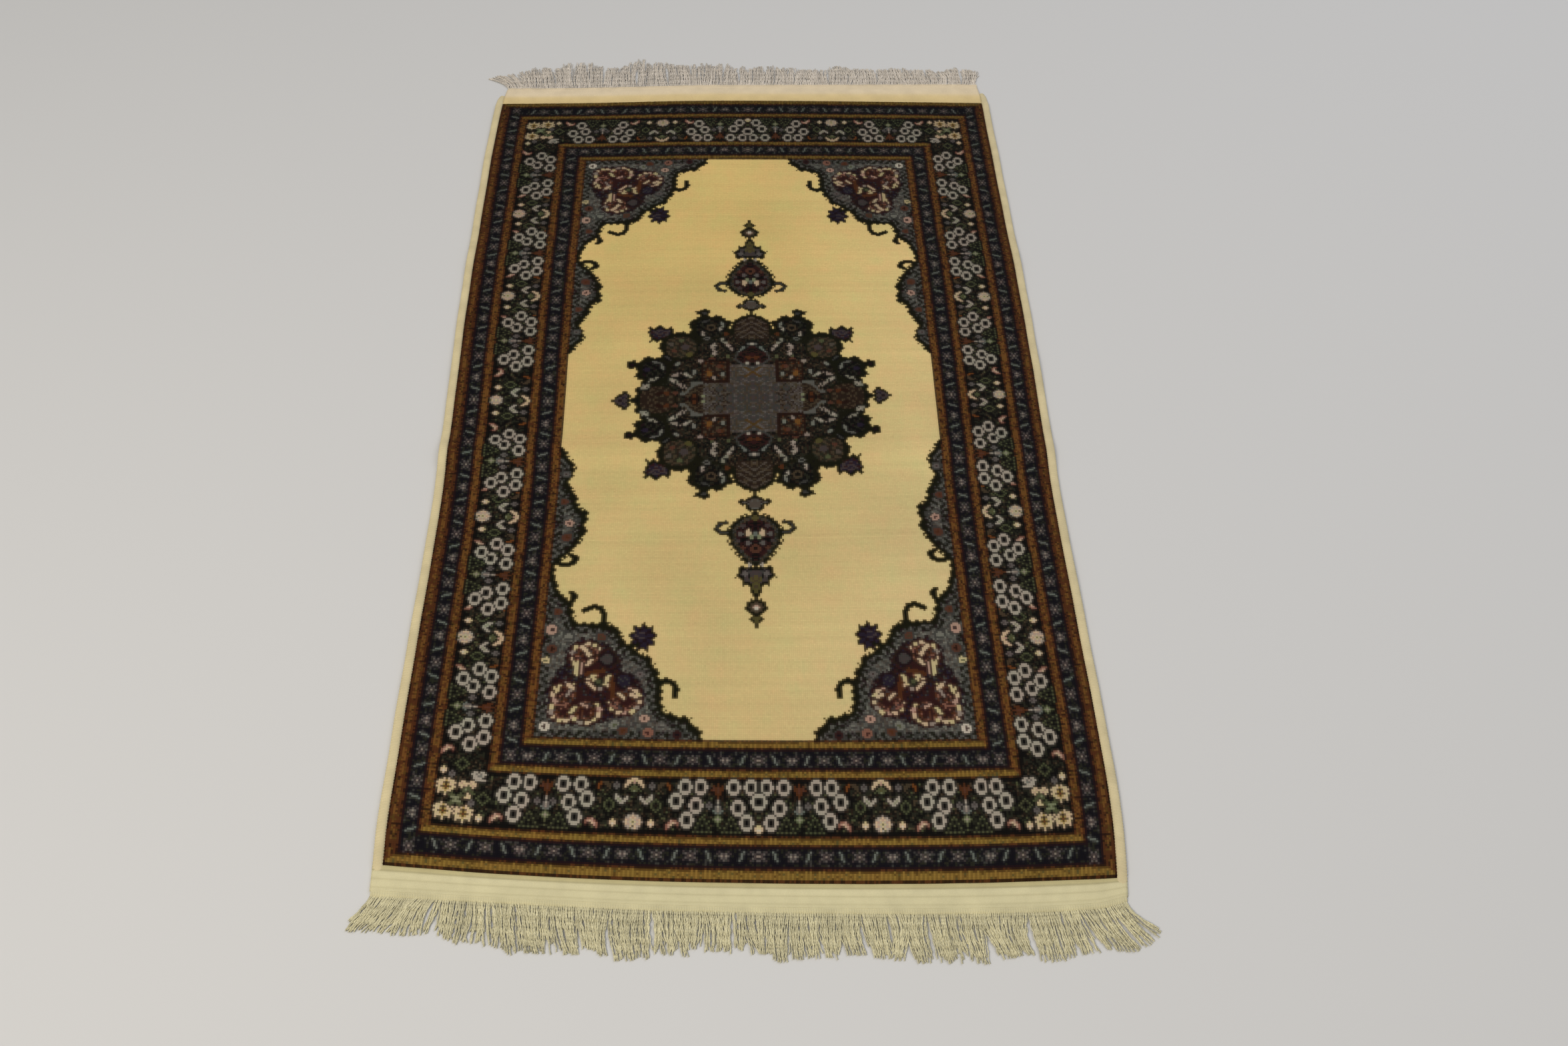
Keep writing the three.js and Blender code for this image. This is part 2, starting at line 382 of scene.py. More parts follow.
def linear(code):
    """A hex sRGB colour as linear values."""
    values = [int(code[i : i + 2], 16) / 255 for i in (1, 3, 5)]
    return [v / 12.92 if v <= 0.04045 else ((v + 0.055) / 1.055) ** 2.4 for v in values]


def along(rows, column, at):
    """Reads a column at places along its table, on a smooth curve through the rows."""
    places = next(iter(rows.values()))
    values = rows[column]
    wide = np.concatenate([places[:1], places, places[-1:]])
    tall = np.concatenate([values[:1], values, values[-1:]])
    slopes = (tall[2:] - tall[:-2]) / (wide[2:] - wide[:-2])
    at = np.asarray(at, float)
    low = np.clip(np.searchsorted(places, at) - 1, 0, len(places) - 2)
    span = places[low + 1] - places[low]
    t = np.clip((at - places[low]) / span, 0, 1)
    rise = (values[low + 1] - values[low]) * t * t * (3 - 2 * t)
    bend = t * (1 - t) * span * (slopes[low] * (1 - t) - slopes[low + 1] * t)
    return values[low] + rise + bend


def lerp(a, b, t):
    return a + (b - a) * t


def edge_x(side, y):
    """The cloth's edge on the left, -1, or right, 1."""
    return side * along(SIDES, "left" if side < 0 else "right", y)


def pile_end(direction, x):
    """The pile's near end, -1, or far end, 1."""
    return along(ENDS, "near" if direction < 0 else "far", x)


def band_end(direction, x, sizes):
    """The outer edge of the flatwoven band beyond that end."""
    if direction < 0:
        return pile_end(-1, x) - sizes.near_band * along(ENDS, "near_band", x)
    return pile_end(1, x) + sizes.far_band * along(ENDS, "far_band", x)


def band_reach(direction, t, sizes):
    """How far a band goes past the pile's sides, from the pile, 0, to the fringe, 1.

    The near band lies over the ends of the cords. The far one draws in between them at its corners.
    """
    ease = t * t * (3 - 2 * t)
    if direction > 0:
        return -sizes.far_inset * ease
    return (sizes.cord_width - 1.4 * PRESS) * np.ones_like(ease)


def heading_ends(direction, sizes):
    """The left and right ends of a fringe's heading."""
    out = band_reach(direction, np.float64(1), sizes)
    return edge_x(-1, direction * CORNER) - out, edge_x(1, direction * CORNER) + out


def lift(x, y):
    """How far the cloth's underside stands off the floor."""
    left, right = edge_x(-1, y), edge_x(1, y)
    across = np.clip((x - left) / (right - left), 0, 1)
    height = 0
    for place, crown_left, crown_right, reach in FOLDS:
        off = np.clip(np.abs(y - place) / reach, 0, 1)
        height = height + lerp(crown_left, crown_right, across) * 0.5 * (1 + np.cos(np.pi * off))
    return height


def frame_shift():
    """What moves the tables' millimetres to the frame's origin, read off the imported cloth."""
    low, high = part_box("woven_cloth")
    return low[0] / MM - CLOTH_LEFT, high[1] / MM - CLOTH_FAR


class Chart:
    """The knots of one quarter of the design, from the middle of the rug to its corner."""

    def __init__(self, across, along_rug):
        self.pitch = (HALF_ACROSS / across, HALF_ALONG / along_rug)
        self.column, self.row = np.meshgrid(np.arange(across), np.arange(along_rug))
        self.u = (self.column + 0.5) * self.pitch[0]
        self.v = (self.row + 0.5) * self.pitch[1]
        self.dye = np.zeros(self.u.shape, int)
        # Steps two knots wide, for the ragged edges that leaves have in a knotted chart
        self.teeth = (self.column // 2 + self.row // 2) % 2
        # An even scatter of values between 0 and 1, for mottled grounds
        self.grain = np.sin(self.column * SCATTER[0] + self.row * SCATTER[1]) * SCATTER[2] % 1
        # The same in winding patches of a few knots, ranked so that they are even too
        waves = np.sin(0.95 * self.u + 2.1 * np.sin(0.47 * self.v))
        waves = waves + np.sin(1.05 * self.v + 1.9 * np.sin(0.53 * self.u))
        waves += 0.8 * np.sin(0.8 * self.u - 0.9 * self.v) + 0.5 * self.grain
        self.patches = waves.ravel().argsort().argsort().reshape(waves.shape) / waves.size

    def into(self, band, part=0):
        """The place, across and along, where a band of the border starts, or a part of its width on."""
        return (
            HALF_ACROSS - (SIDE_STARTS[band] + part * SIDE_BANDS[band]) * self.pitch[0],
            HALF_ALONG - (END_STARTS[band] + part * END_BANDS[band]) * self.pitch[1],
        )

    def paint(self, dye, where):
        self.dye[where] = DYE_NAMES.index(dye)

    def mottle(self, where, *dyes, patchy=False):
        """Scatters single knots or patches of other dyes over a ground, each a given share of it."""
        grain = self.patches if patchy else self.grain
        start = 0
        for dye, share in dyes:
            self.paint(dye, where & (grain >= start) & (grain < start + share))
            start += share

    def outline(self, reach, width, ragged):
        """Fills a form with the dark outline dye, to a ragged edge a little beyond its own."""
        self.paint("night_green", reach - ragged * self.teeth < width)

    def disc(self, at, radius):
        return np.hypot(self.u - at[0], self.v - at[1]) - radius

    def oval(self, at, radii, square=2):
        """An oval, or with square above 2 a form between an oval and its box."""
        across, down = abs(self.u - at[0]) / radii[0], abs(self.v - at[1]) / radii[1]
        return ((across**square + down**square) ** (1 / square) - 1) * min(radii)

    def leaf(self, at, radii, teeth, depth, turn=0.0, square=2):
        """An oval with pointed teeth round it, one of them in the direction of turn."""
        angle = np.arctan2((self.v - at[1]) / radii[1], (self.u - at[0]) / radii[0]) - turn
        saw = abs((angle * teeth / (2 * np.pi)) % 1 - 0.5) * 2
        return self.oval(at, radii, square) - depth * saw

    def block(self, halves, at=(0, 0)):
        return np.maximum(abs(self.u - at[0]) - halves[0], abs(self.v - at[1]) - halves[1])

    def part_way(self, a, b):
        """How far each knot lies from one place to another, as a part of the way between them."""
        step = np.subtract(b, a)
        return ((self.u - a[0]) * step[0] + (self.v - a[1]) * step[1]) / max(step @ step, 1e-9), step

    def from_segment(self, a, b):
        t, step = self.part_way(a, b)
        t = np.clip(t, 0, 1)
        return np.hypot(self.u - a[0] - t * step[0], self.v - a[1] - t * step[1])

    def line(self, points, width):
        reach = np.inf
        for a, b in zip(points, points[1:]):
            reach = np.minimum(reach, self.from_segment(a, b))
        return reach - width / 2

    def blade(self, a, b, width):
        """A leaf from one place to another, widest in its middle and pointed at both ends."""
        t, _ = self.part_way(a, b)
        return self.from_segment(a, b) - width / 2 * np.sin(np.pi * np.clip(t, 0.06, 0.94))

    def form(self, points):
        """Distance to a closed outline, below zero inside it."""
        inside = np.zeros(self.u.shape, bool)
        reach = np.inf
        for a, b in zip(points, points[1:] + points[:1]):
            reach = np.minimum(reach, self.from_segment(a, b))
            crosses = (a[1] > self.v) != (b[1] > self.v)
            rise = (b[1] - a[1]) or 1.0
            inside ^= crosses & (self.u < a[0] + (b[0] - a[0]) * (self.v - a[1]) / rise)
        return np.where(inside, -reach, reach)

    def stamp(self, motif, at, turned=False, flipped=False, halo=None):
        """Knots a charted motif round a place. Turned, its top is towards the side field."""
        cells = np.array([list(row) for row in MOTIFS[motif].split()])
        if flipped:
            cells = cells[:, ::-1]
        if turned:
            cells = cells.T
        cells = np.pad(cells, 1, constant_values=".")
        solid = cells != "."
        beside = solid.copy()
        for step, axis in ((1, 0), (-1, 0), (1, 1), (-1, 1)):
            beside |= np.roll(solid, step, axis)
        first_row = round(at[1] / self.pitch[1] - cells.shape[0] / 2)
        first_column = round(at[0] / self.pitch[0] - cells.shape[1] / 2)
        for r, c in zip(*np.nonzero(beside if halo else solid)):
            row, column = first_row + r, first_column + c
            if 0 <= row < self.dye.shape[0] and 0 <= column < self.dye.shape[1]:
                dye = LETTERS[cells[r, c]] if solid[r, c] else halo
                self.dye[row, column] = DYE_NAMES.index(dye)


def border(chart):
    """The seven bands round the field, and the ground of each."""
    from_side = chart.column.max() - chart.column
    from_end = chart.row.max() - chart.row
    side_band = np.searchsorted(SIDE_STARTS, from_side, side="right") - 1
    end_band = np.searchsorted(END_STARTS, from_end, side="right") - 1
    band = np.minimum(side_band, end_band)
    side_depth = from_side - SIDE_STARTS[band]
    end_depth = from_end - END_STARTS[band]
    at_end = end_depth <= side_depth
    depth = np.where(at_end, end_depth, side_depth)
    width = np.where(at_end, END_BANDS[band], SIDE_BANDS[band])
    edge = (depth == 0) | (depth >= width - 1)

    stripe = np.isin(band, STRIPES)
    end_stripe, side_stripe = stripe & at_end, stripe & ~at_end
    chart.paint("gold", end_stripe)
    chart.mottle(end_stripe & ~edge, ("olive", 0.1), ("gold_dark", 0.12))
    chart.paint("brass", end_stripe & ~edge & (chart.column % 2 == 0))
    chart.paint("gold_dark", end_stripe & (depth == width - 2) & (chart.grain < 0.7))
    chart.mottle(end_stripe & edge, ("rust", 0.35), ("rust_dark", 0.65))
    chart.paint("rust", side_stripe)
    chart.paint("amber", side_stripe & (abs(depth - (width - 1) / 2) < 1.2))
    chart.mottle(side_stripe & ~edge, ("rust", 0.3), ("gold_dark", 0.12), ("rust_dark", 0.08))
    chart.mottle(side_stripe & edge, ("rust_dark", 0.5))
    guard = np.isin(band, GUARDS)
    chart.paint("navy", guard)
    chart.mottle(guard, ("leaf_dark", 0.2), ("slate_dark", 0.08))
    chart.paint("plum", guard & edge)
    main = band == MAIN
    chart.paint("ground", main)
    # Dim undergrowth between the motifs of the main band
    inner = main & (depth > 1) & (depth < width - 2)
    chart.mottle(inner, ("leaf_dark", 0.3), ("umber", 0.07), ("brown", 0.1), ("leaf", 0.05))


def guard_motifs(chart):
    """Stars and slanting leaves by turns along the narrow dark guards."""
    stars = ("star", "floret_star", "star")
    for band in GUARDS:
        side_line, end_line = chart.into(band, 0.5)
        for on_side, steps in (
            (False, round(side_line / END_GUARD_PITCH)),
            (True, round(end_line / SIDE_GUARD_PITCH) + 1),
        ):
            for turn in range(steps):
                motif = "slash" if turn % 2 else stars[turn // 2 % 3]
                at = (side_line, turn * SIDE_GUARD_PITCH) if on_side else (turn * END_GUARD_PITCH, end_line)
                chart.stamp(motif, at, turned=on_side, flipped=turn % 4 == 1)


def main_motifs(chart):
    """The ring clusters, stalks and flowers of the main band, and its corners."""
    inner_u, inner_v = chart.into(MAIN + 1)

    def on_end(motif, place, depth, flipped=False):
        chart.stamp(motif, (place, inner_v + depth), flipped=flipped, halo="ground")

    def on_side(motif, place, depth, flipped=False):
        at = (inner_u + SIDE_GAP + depth * SIDE_DEPTH, place)
        chart.stamp(motif, at, turned=motif != "ring", flipped=flipped, halo="ground")

    for knot, stalks, flowers, stretch in (
        (on_end, END_STALKS, END_FLOWERS, 1),
        (on_side, SIDE_STALKS, SIDE_FLOWERS, SIDE_STRETCH),
    ):
        for flower in flowers:
            for motif, offset, depth in FLOWER:
                leans_out = motif in ("wing", "olive_arc")
                knot(motif, flower + offset * stretch, depth, not leans_out)
                if offset:
                    knot(motif, flower - offset * stretch, depth, leans_out)
        for stalk in stalks:
            for motif, offset, depth in CLUSTER:
                knot(motif, stalk + offset * stretch, depth)
                # The cluster in the middle of the end has a form of its own
                if stalk != END_STALKS[0] or knot is on_side:
                    knot(motif, stalk - offset * stretch, depth, True)
            knot("stalk", stalk, STALK_DEPTH)
    for motif, offset, depth in MIDDLE_CLUSTER:
        on_end(motif, offset, depth)
        on_end(motif, -offset, depth, True)
    # Ground for the corner's own motifs: it starts a little before the inner corner of the band
    corner = (chart.u > inner_u + 1) & (chart.v > inner_v - 12)
    corner &= (chart.u < inner_u + 21 * chart.pitch[0]) & (chart.v < inner_v + 26 * chart.pitch[1])
    chart.paint("ground", corner)
    chart.mottle(corner, ("leaf_dark", 0.3), ("umber", 0.08), ("brown", 0.1))
    for motif, across, down in CORNER_BLOCK:
        chart.stamp(motif, (inner_u + across, inner_v + down), halo="ground")


# The corner piece's outline from the field's corner, across and along the rug
CORNER_PIECE = [
    (-3, -3), (125, -3), (124.5, 8), (117, 11), (116, 18), (104, 20), (96, 24), (93, 32), (93, 46),
    (90, 60), (83, 73), (74, 79), (64, 88), (57, 100), (49, 106), (23, 106.5), (20, 118), (19, 126),
    (14, 132), (8, 138), (5, 146), (2, 158), (3, 165), (7, 172), (13, 178), (17, 184), (21, 192),
    (25, 201), (24, 212), (26, 223), (17, 229), (16, 238), (12, 248), (7, 255), (8, 262), (12, 272),
    (11, 280), (6, 286), (3, 293), (0, 298), (-3, 298),
]
CORNER_HOOKS = (
    [(92, 50), (97, 53), (103, 50), (105.5, 44), (104.5, 38)],
    [(46, 106), (46, 116), (43, 122), (37, 123.5), (30, 119.5)],
    [(14, 125), (19, 128), (22, 133), (19, 137)],
    [(7, 167), (14, 166), (19, 169), (20, 174), (16, 176)],
)
# The corner's roses: middle, radius, and the angles between which their ruffle of petals is open
ROSES = (
    (35, 75, 11.5, 35, 245), (21, 39, 9.5, 55, 215), (20, 24, 9.0, 130, 320),
    (37, 24, 10.5, 225, 395), (66, 34, 11.5, 195, 435), (45, 51, 7.0, 120, 330),
)
# The dark leaves that they grow from, as one outline
THICKET = [
    (6, 24), (10, 14), (24, 9), (44, 10), (60, 17), (80, 25), (83, 42), (75, 56), (64, 63),
    (62, 78), (50, 88), (30, 94), (19, 86), (17, 66), (10, 56), (5, 42),
]
# Single curled petals inside them: a short stroke, its width and dye
CURLS = (
    ((31, 84), (37, 76), 3.2, "rose"), ((28, 68), (28, 58), 3.4, "cream"),
    ((31.5, 67), (31.5, 59), 2.2, "pink"), ((39, 71), (36, 67), 2.8, "rose"),
    ((22, 48), (27, 44), 2.8, "rose"), ((25, 43), (22, 37), 2.2, "shell"),
    ((14, 40), (16, 47), 2.4, "cream"), ((16, 29), (22, 28), 2.2, "salmon"),
    ((26, 22), (29, 27), 2.8, "cream"), ((33, 30), (38, 28), 2.2, "pink"),
    ((62, 40), (66, 36), 2.8, "rose"), ((56, 30), (60, 27), 2.2, "salmon"),
    ((71, 40), (75, 37), 3.0, "rose"), ((37, 50.5), (43, 43.5), 2.4, "rose"),
    ((53, 56), (50, 48.5), 3.0, "cream"), ((40, 56), (43, 51), 3.0, "cream"),
)
# Small flowers and berries on the corner's ground: dye of the petals and of the heart, radius
CORNER_BERRIES = (
    (7, 9, "white", "maroon", 4.2), (59.5, 12, "slate_pale", "leaf", 4.0),
    (66, 7, "wine", "rust", 3.6), (82, 18, "pink", "maroon", 3.6),
    (85, 5.5, "salmon", "maroon", 4.2), (107, 4, "maroon", "navy", 3.6),
    (6, 100, "pink", "plum", 4.6), (19.5, 94, "slate_pale", "slate_pale", 3.0),
    (7.5, 81, "wine", "rust_dark", 4.2), (3.5, 70, "cream", "leaf", 3.0),
    (45, 93, "wine", "umber", 3.6), (77, 58, "lilac", "maroon", 3.4), (9, 118, "wine", "rust", 3.4),
    (11, 196, "wine", "rust", 4.2), (12, 212, "pink", "maroon", 3.6), (6, 236, "wine", "rust", 3.4),
    (6, 268, "lilac", "maroon", 3.0),
)
# Dark buds between the roses: place, radius and dye
DARK_BUDS = ((51, 72, 7, "lilac_dark"), (65, 52, 7.5, "violet"), (16.5, 59, 4, "violet"))
# The petals round a rose: their spacing in millimetres, and their dyes in turn
PETAL_PITCH = 5.4
PETAL_DYES = ("rose", "cream", "rose", "pink", "cream", "shell")


def corner_piece(chart):
    """The slate spandrel with its roses, in a corner of the field."""
    field = chart.into(FIELD)

    def place(point):
        return field[0] - point[0], field[1] - point[1]

    def form(points):
        return chart.form([place(point) for point in points])

    def stroke(points, width):
        return chart.line([place(point) for point in points], width) < 0

    def spot(across, down, radius):
        return chart.disc(place((across, down)), radius) < 0

    outside = (chart.u >= field[0]) | (chart.v >= field[1])
    before = chart.dye.copy()
    for hook in CORNER_HOOKS:
        chart.paint("night_green", stroke(hook, 5.2))
    finial = chart.leaf(place((78, 93)), (8.5, 10.5), 9, 3.6, 1.2)
    chart.paint("night_green", finial < 0)
    chart.mottle(finial < -1.6, ("violet", 0.6), ("plum", 0.4), patchy=True)
    chart.mottle(spot(76, 95, 4), ("lilac_dark", 0.5), ("violet", 0.5), patchy=True)
    chart.paint("night_green", stroke([(62, 80), (74, 86)], 4))

    reach = form(CORNER_PIECE)
    chart.outline(reach, 0.6, 1.8)
    inner = reach < -3.8
    chart.paint("slate", inner)
    chart.mottle(inner, ("slate_dark", 0.2), ("slate_pale", 0.12), ("heart", 0.2), patchy=True)
    chart.mottle(inner, ("lilac_dark", 0.06), ("slate_dark", 0.06))
    rim = inner & (reach > -9.5)
    chart.mottle(rim, ("night_green", 0.35), ("slate_dark", 0.3), ("plum", 0.12), patchy=True)

    thicket = form(THICKET)
    chart.paint("plum", thicket + 2 * chart.teeth < 0)
    leaves = ("maroon", 0.3), ("brown", 0.2), ("violet", 0.12), ("slate_dark", 0.08)
    chart.mottle(thicket < -2, *leaves, patchy=True)
    for across, down, radius, _, _ in ROSES:
        chart.paint("maroon", spot(across, down, radius + 3.4))
    for across, down, radius, first, last in ROSES:
        petals = round(radius * math.radians(last - first) / PETAL_PITCH)
        for petal in range(petals + 1):
            angle = math.radians(first + (last - first) * petal / petals)
            at = across + radius * math.cos(angle), down + radius * math.sin(angle)
            dye = PETAL_DYES[(petal + round(radius)) % len(PETAL_DYES)]
            chart.paint(dye, spot(*at, 2.4 if petal % 3 else 1.8))
        fold = spot(across, down, radius - 1.2)
        chart.paint("wine", fold)
        chart.mottle(
            fold, ("rust", 0.2), ("maroon", 0.3), ("salmon", 0.12), ("brown", 0.12), ("lilac_dark", 0.08)
        )
        chart.paint("maroon", spot(across + 1, down - 1, radius * 0.3))
    for across, down, radius, dye in DARK_BUDS:
        chart.paint("plum", spot(across, down, radius))
        chart.mottle(spot(across, down, radius - 2), (dye, 0.8), ("slate_dark", 0.2))
    for twig in (((55, 55), (57, 38)), ((36, 58), (48, 61))):
        chart.paint("rust", stroke(twig, 4.2))
    for a, b, width, _ in CURLS:
        chart.paint("maroon", stroke((a, b), width + 1.8))
    for a, b, width, dye in CURLS:
        chart.paint(dye, stroke((a, b), width))
    chart.paint("leaf_dark", spot(46, 50, 3.8))
    chart.paint("leaf", spot(46, 50.5, 1.8))
    for across, down, petals, heart, radius in CORNER_BERRIES:
        chart.paint("slate_dark", spot(across, down, radius + 1.5))
        chart.paint(petals, spot(across, down, radius))
        chart.paint(heart, spot(across, down, radius * 0.42))
    chart.dye[outside] = before[outside]


# Lobes of the medallion: place, radii, teeth, and dyes scattered inside
LOBES = (
    ((87, 0), (18.5, 19.5), 10, (("umber", 0.4), ("brown", 0.5), ("rust_dark", 0.1))),
    ((90, 36), (14.5, 14.5), 8, (("ground", 0.6), ("leaf_dark", 0.3), ("plum", 0.1))),
    ((66, 66), (17, 18), 8, (("umber", 0.4), ("brown", 0.3), ("leaf_dark", 0.3))),
    ((39, 92), (17, 15.5), 8, (("ground", 0.55), ("leaf_dark", 0.3), ("brown", 0.15))),
)
# The part at each end of the medallion, and the forms that stand out round it
END_SHIELD = [
    (-18.5, 74), (18.5, 74), (18.5, 97), (15.5, 103), (9.5, 107.5), (5, 110), (0, 113.5), (-5, 110),
    (-9.5, 107.5), (-15.5, 103), (-18.5, 97),
]
LEAF_FINIAL = [
    (75, 93), (73.5, 86), (78, 80), (81.5, 76), (85.5, 76.5), (88, 72), (90.5, 76.5), (94, 73),
    (93.5, 80), (97, 86), (95, 94), (90, 91), (86, 96), (81, 91),
]
END_FINIAL = [
    (38.5, 116.5), (42, 110.5), (45, 107), (47, 110.5), (52, 112), (51.5, 116), (45, 118.5),
]
SPADE = [
    (112, -7.5), (115, -11), (121, -7), (127.5, 0), (121, 7), (115, 11), (112, 7.5),
]
CARTOUCHE = [(-16, 50), (-9, 43), (0, 40), (9, 43), (16, 50), (13, 59), (0, 69), (-13, 59)]
# Dim pale leaves on the medallion: from, to, width and dye
PALE_LEAVES = (
    ((60, 13.5), (69, 19), 4.4, "shell"), ((67, 19), (77, 26), 4.0, "moth"),
    ((56, 27), (64, 32.5), 4.2, "moth"), ((64, 32.5), (74.5, 28), 4.2, "shell"),
    ((94.5, 20), (101.5, 13), 6.5, "moth"), ((84.5, 28.5), (96, 22), 4.0, "moth"),
    ((82, 36), (84.5, 44.5), 3.4, "slate_pale"), ((84.5, 44.5), (93, 47), 2.8, "slate"),
    ((33.5, 54), (37.5, 63), 5.2, "shell"), ((37.5, 62), (34.5, 72), 6.4, "shell"),
    ((36, 52), (39, 55.5), 3.0, "leaf"), ((17, 60.5), (24, 71), 4.6, "shell"),
    ((23, 70), (29.5, 79.5), 4.4, "moth"), ((12, 60), (5.5, 69), 3.0, "teal"),
    ((6, 68.5), (0, 73), 2.8, "slate"), ((46, 81.5), (46, 88.5), 4.0, "shell"),
    ((31, 88.5), (26.5, 96), 3.8, "moth"), ((26.5, 95), (28.5, 101.5), 3.6, "slate_pale"),
    ((33, 50.5), (42, 50.5), 2.6, "wine"), ((27.6, 27.5), (27.6, 34.5), 3.8, "slate_pale"),
    ((35.5, 23), (35.5, 28.5), 3.6, "shell"), ((53.5, -8), (53.5, 8), 7.0, "rust_dark"),
    ((53.6, 29), (53.6, 37), 3.0, "slate_pale"), ((40, 104), (47, 99.5), 3.0, "slate_dark"),
    ((75, 48), (81, 55), 3.0, "slate_dark"), ((72, 41), (66, 46), 3.0, "slate_pale"),
)
# Dark veins that cut them
LEAF_VEINS = (
    ((63, 14), (64, 18.5)), ((70, 18), (70.5, 23)), ((60.5, 28), (60, 32)),
    ((68, 32.5), (67, 28.5)), ((33, 58), (38, 60)), ((33, 66), (37, 68)), ((18, 67), (23, 65)),
    ((24, 76), (28.5, 73.5)), ((96, 15), (99, 19)), ((44.5, 85), (48, 85)),
    ((89, 24), (90.5, 27.5)), ((27, 92), (30.5, 94)),
)
LEAF_LIGHTS = (
    (35, 57), (36, 68), (22, 67.5), (46, 83), (61, 30), (73, 22.5), (98, 16.5), (29.5, 91),
)
# Spots that are mirrored with the rest: place, radius and dye
MEDALLION_SPOTS = (
    ((97, 37), 2.8, "violet"), ((78, 8), 2.6, "rust"), ((58, 56), 3.4, "olive"),
    ((62, 66), 3.8, "lilac_dark"), ((66, 75), 2.4, "leaf"), ((72, 61), 2.4, "wine"),
    ((75, 70), 2.6, "heart"), ((38, 93), 4.8, "umber"), ((38, 93), 2.2, "ground"),
    ((42, 78), 2.8, "slate"), ((42, 78), 1.4, "ground"), ((4.8, 44.5), 2.0, "ring"),
    ((3.4, 52), 2.8, "rust"), ((22.6, 53), 2.2, "leaf"), ((40, 31), 3.0, "amber"),
    ((31, 40.5), 2.4, "wine"), ((45.8, 3), 2.0, "leaf_pale"), ((53.5, 4), 2.2, "rust"),
    ((64.4, 6.7), 2.6, "slate"), ((53.6, 19), 3.2, "slate"), ((71, 8), 2.4, "wine"),
    ((85, 8), 2.4, "rust_dark"), ((48.3, 47.4), 2.4, "shell"), ((0, 70.5), 1.8, "ring"),
    ((44.5, 113.5), 2.0, "slate_dark"), ((110, 43), 2.0, "plum"), ((24, 84), 2.4, "rust"),
)


def medallion(chart):
    """The many-lobed medallion in the middle of the field."""
    finial, spade, shield = (chart.form(points) for points in (LEAF_FINIAL, SPADE, END_SHIELD))
    whole = chart.oval((0, 0), (83, 87), 2.3)
    for at, radii, teeth, _ in LOBES:
        whole = np.minimum(whole, chart.leaf(at, radii, teeth, 3.0, math.atan2(at[1], at[0]), 2.8))
    for reach in (
        shield,
        chart.line([(72, 78), (80, 86)], 4.5),
        finial,
        chart.line([(102, 40), (110, 43)], 3.4),
        chart.disc((110, 43), 4.6),
        chart.form(END_FINIAL),
        chart.line([(104, 0), (114, 0)], 3.2),
        spade,
    ):
        whole = np.minimum(whole, reach)
    chart.outline(whole, 0.3, 1.0)
    chart.mottle(whole < -3, ("ground", 0.4), ("brown", 0.25), ("leaf_dark", 0.25), ("umber", 0.1))
    for at, radii, _, dyes in LOBES:
        lobe = chart.oval(at, radii, 2.8)
        chart.paint("night_green", lobe < -1)
        chart.mottle(lobe < -3.4, *dyes, patchy=True)
    chart.mottle(shield < -3, ("umber", 0.25), ("brown", 0.75))
    chart.mottle(finial < -1.8, ("violet", 0.4), ("lilac_dark", 0.4), ("maroon", 0.2), patchy=True)
    chart.mottle(spade < -1.8, ("lilac_dark", 0.6), ("violet", 0.2), ("plum", 0.2), patchy=True)

    # Scales on the side lobe and chevrons on the end one
    scales = abs(chart.disc((64, 0), 0) % 6 - 3) < 0.9
    chart.paint("brown", scales & (chart.oval((87, 0), (15.5, 16)) < 0))
    chevrons = abs((chart.v + 0.8 * chart.u) % 7 - 3.5) < 0.9
    chart.paint("heart", chevrons & (shield < -4.5))

    # The square heart, its corner squares and the side parts between them
    middle = chart.block((21, 42)) < 0
    sides = chart.block((12, 20), (33, 0)) < 0
    chart.mottle(middle, ("heart", 0.5), ("lilac_dark", 0.3), ("umber", 0.2))
    chart.mottle(middle, ("lilac", 0.14), ("slate_dark", 0.14), ("umber", 0.1), patchy=True)
    chart.mottle(sides, ("heart", 0.45), ("umber", 0.3), ("lilac_dark", 0.15), ("brown", 0.1))
    chart.mottle(sides, ("lilac", 0.12), ("brown", 0.14), patchy=True)
    inside = (chart.block((40, 17)) < 0) | (chart.block((18, 38)) < 0)
    for u in (0.8, 10.8, 20.8, 30.8):
        for v in (1, 12.5, 24):
            near = chart.disc((u, v), 0)
            chart.paint("slate_dark", (near < 3.8) & (near > 1.9) & inside)
            chart.paint("lilac_dark", (near < 1.6) & inside)
    square = chart.block((12.5, 13.5), (34.5, 34))
    chart.paint("rust_dark", square < 0.6)
    earths = ("umber", 0.3), ("rust_dark", 0.15), ("rust", 0.15), ("brown", 0.4)
    chart.mottle(square < -2.0, *earths, patchy=True)
    for end in ((7, 39), (7, 27)):
        chart.paint("gold_dark", chart.line([(0, 33), end], 2.0) < 0)

    # Dark cartouche towards each end, and scalloped form towards each side
    cartouche = chart.form(CARTOUCHE)
    chart.paint("slate_dark", cartouche < 1.4)
    chart.mottle(cartouche < -0.6, ("ground", 0.45), ("maroon", 0.35), ("brown", 0.2))
    scallop = chart.oval((45, 0), (17, 20))
    beyond = chart.u > 46
    chart.mottle((scallop < 0) & beyond, ("brown", 0.5), ("umber", 0.4), ("rust_dark", 0.1))
    chart.paint("slate", (abs(scallop) < 1.0) & beyond & (chart.v > 6))
    for a, b, width, _ in PALE_LEAVES:
        chart.paint("ground", chart.blade(a, b, width + 4.4) < 0)
    for a, b, width, dye in PALE_LEAVES:
        chart.paint(dye, chart.blade(a, b, width) < 0)
    for vein in LEAF_VEINS:
        chart.paint("ground", chart.line(vein, 1.5) < 0)
    for at, radius, dye in MEDALLION_SPOTS:
        chart.paint(dye, chart.disc(at, radius) < 0)
    # The brightest knots, at the turns of the leaves
    for at in LEAF_LIGHTS:
        chart.paint("ring", chart.disc(at, 1.7) < 0)


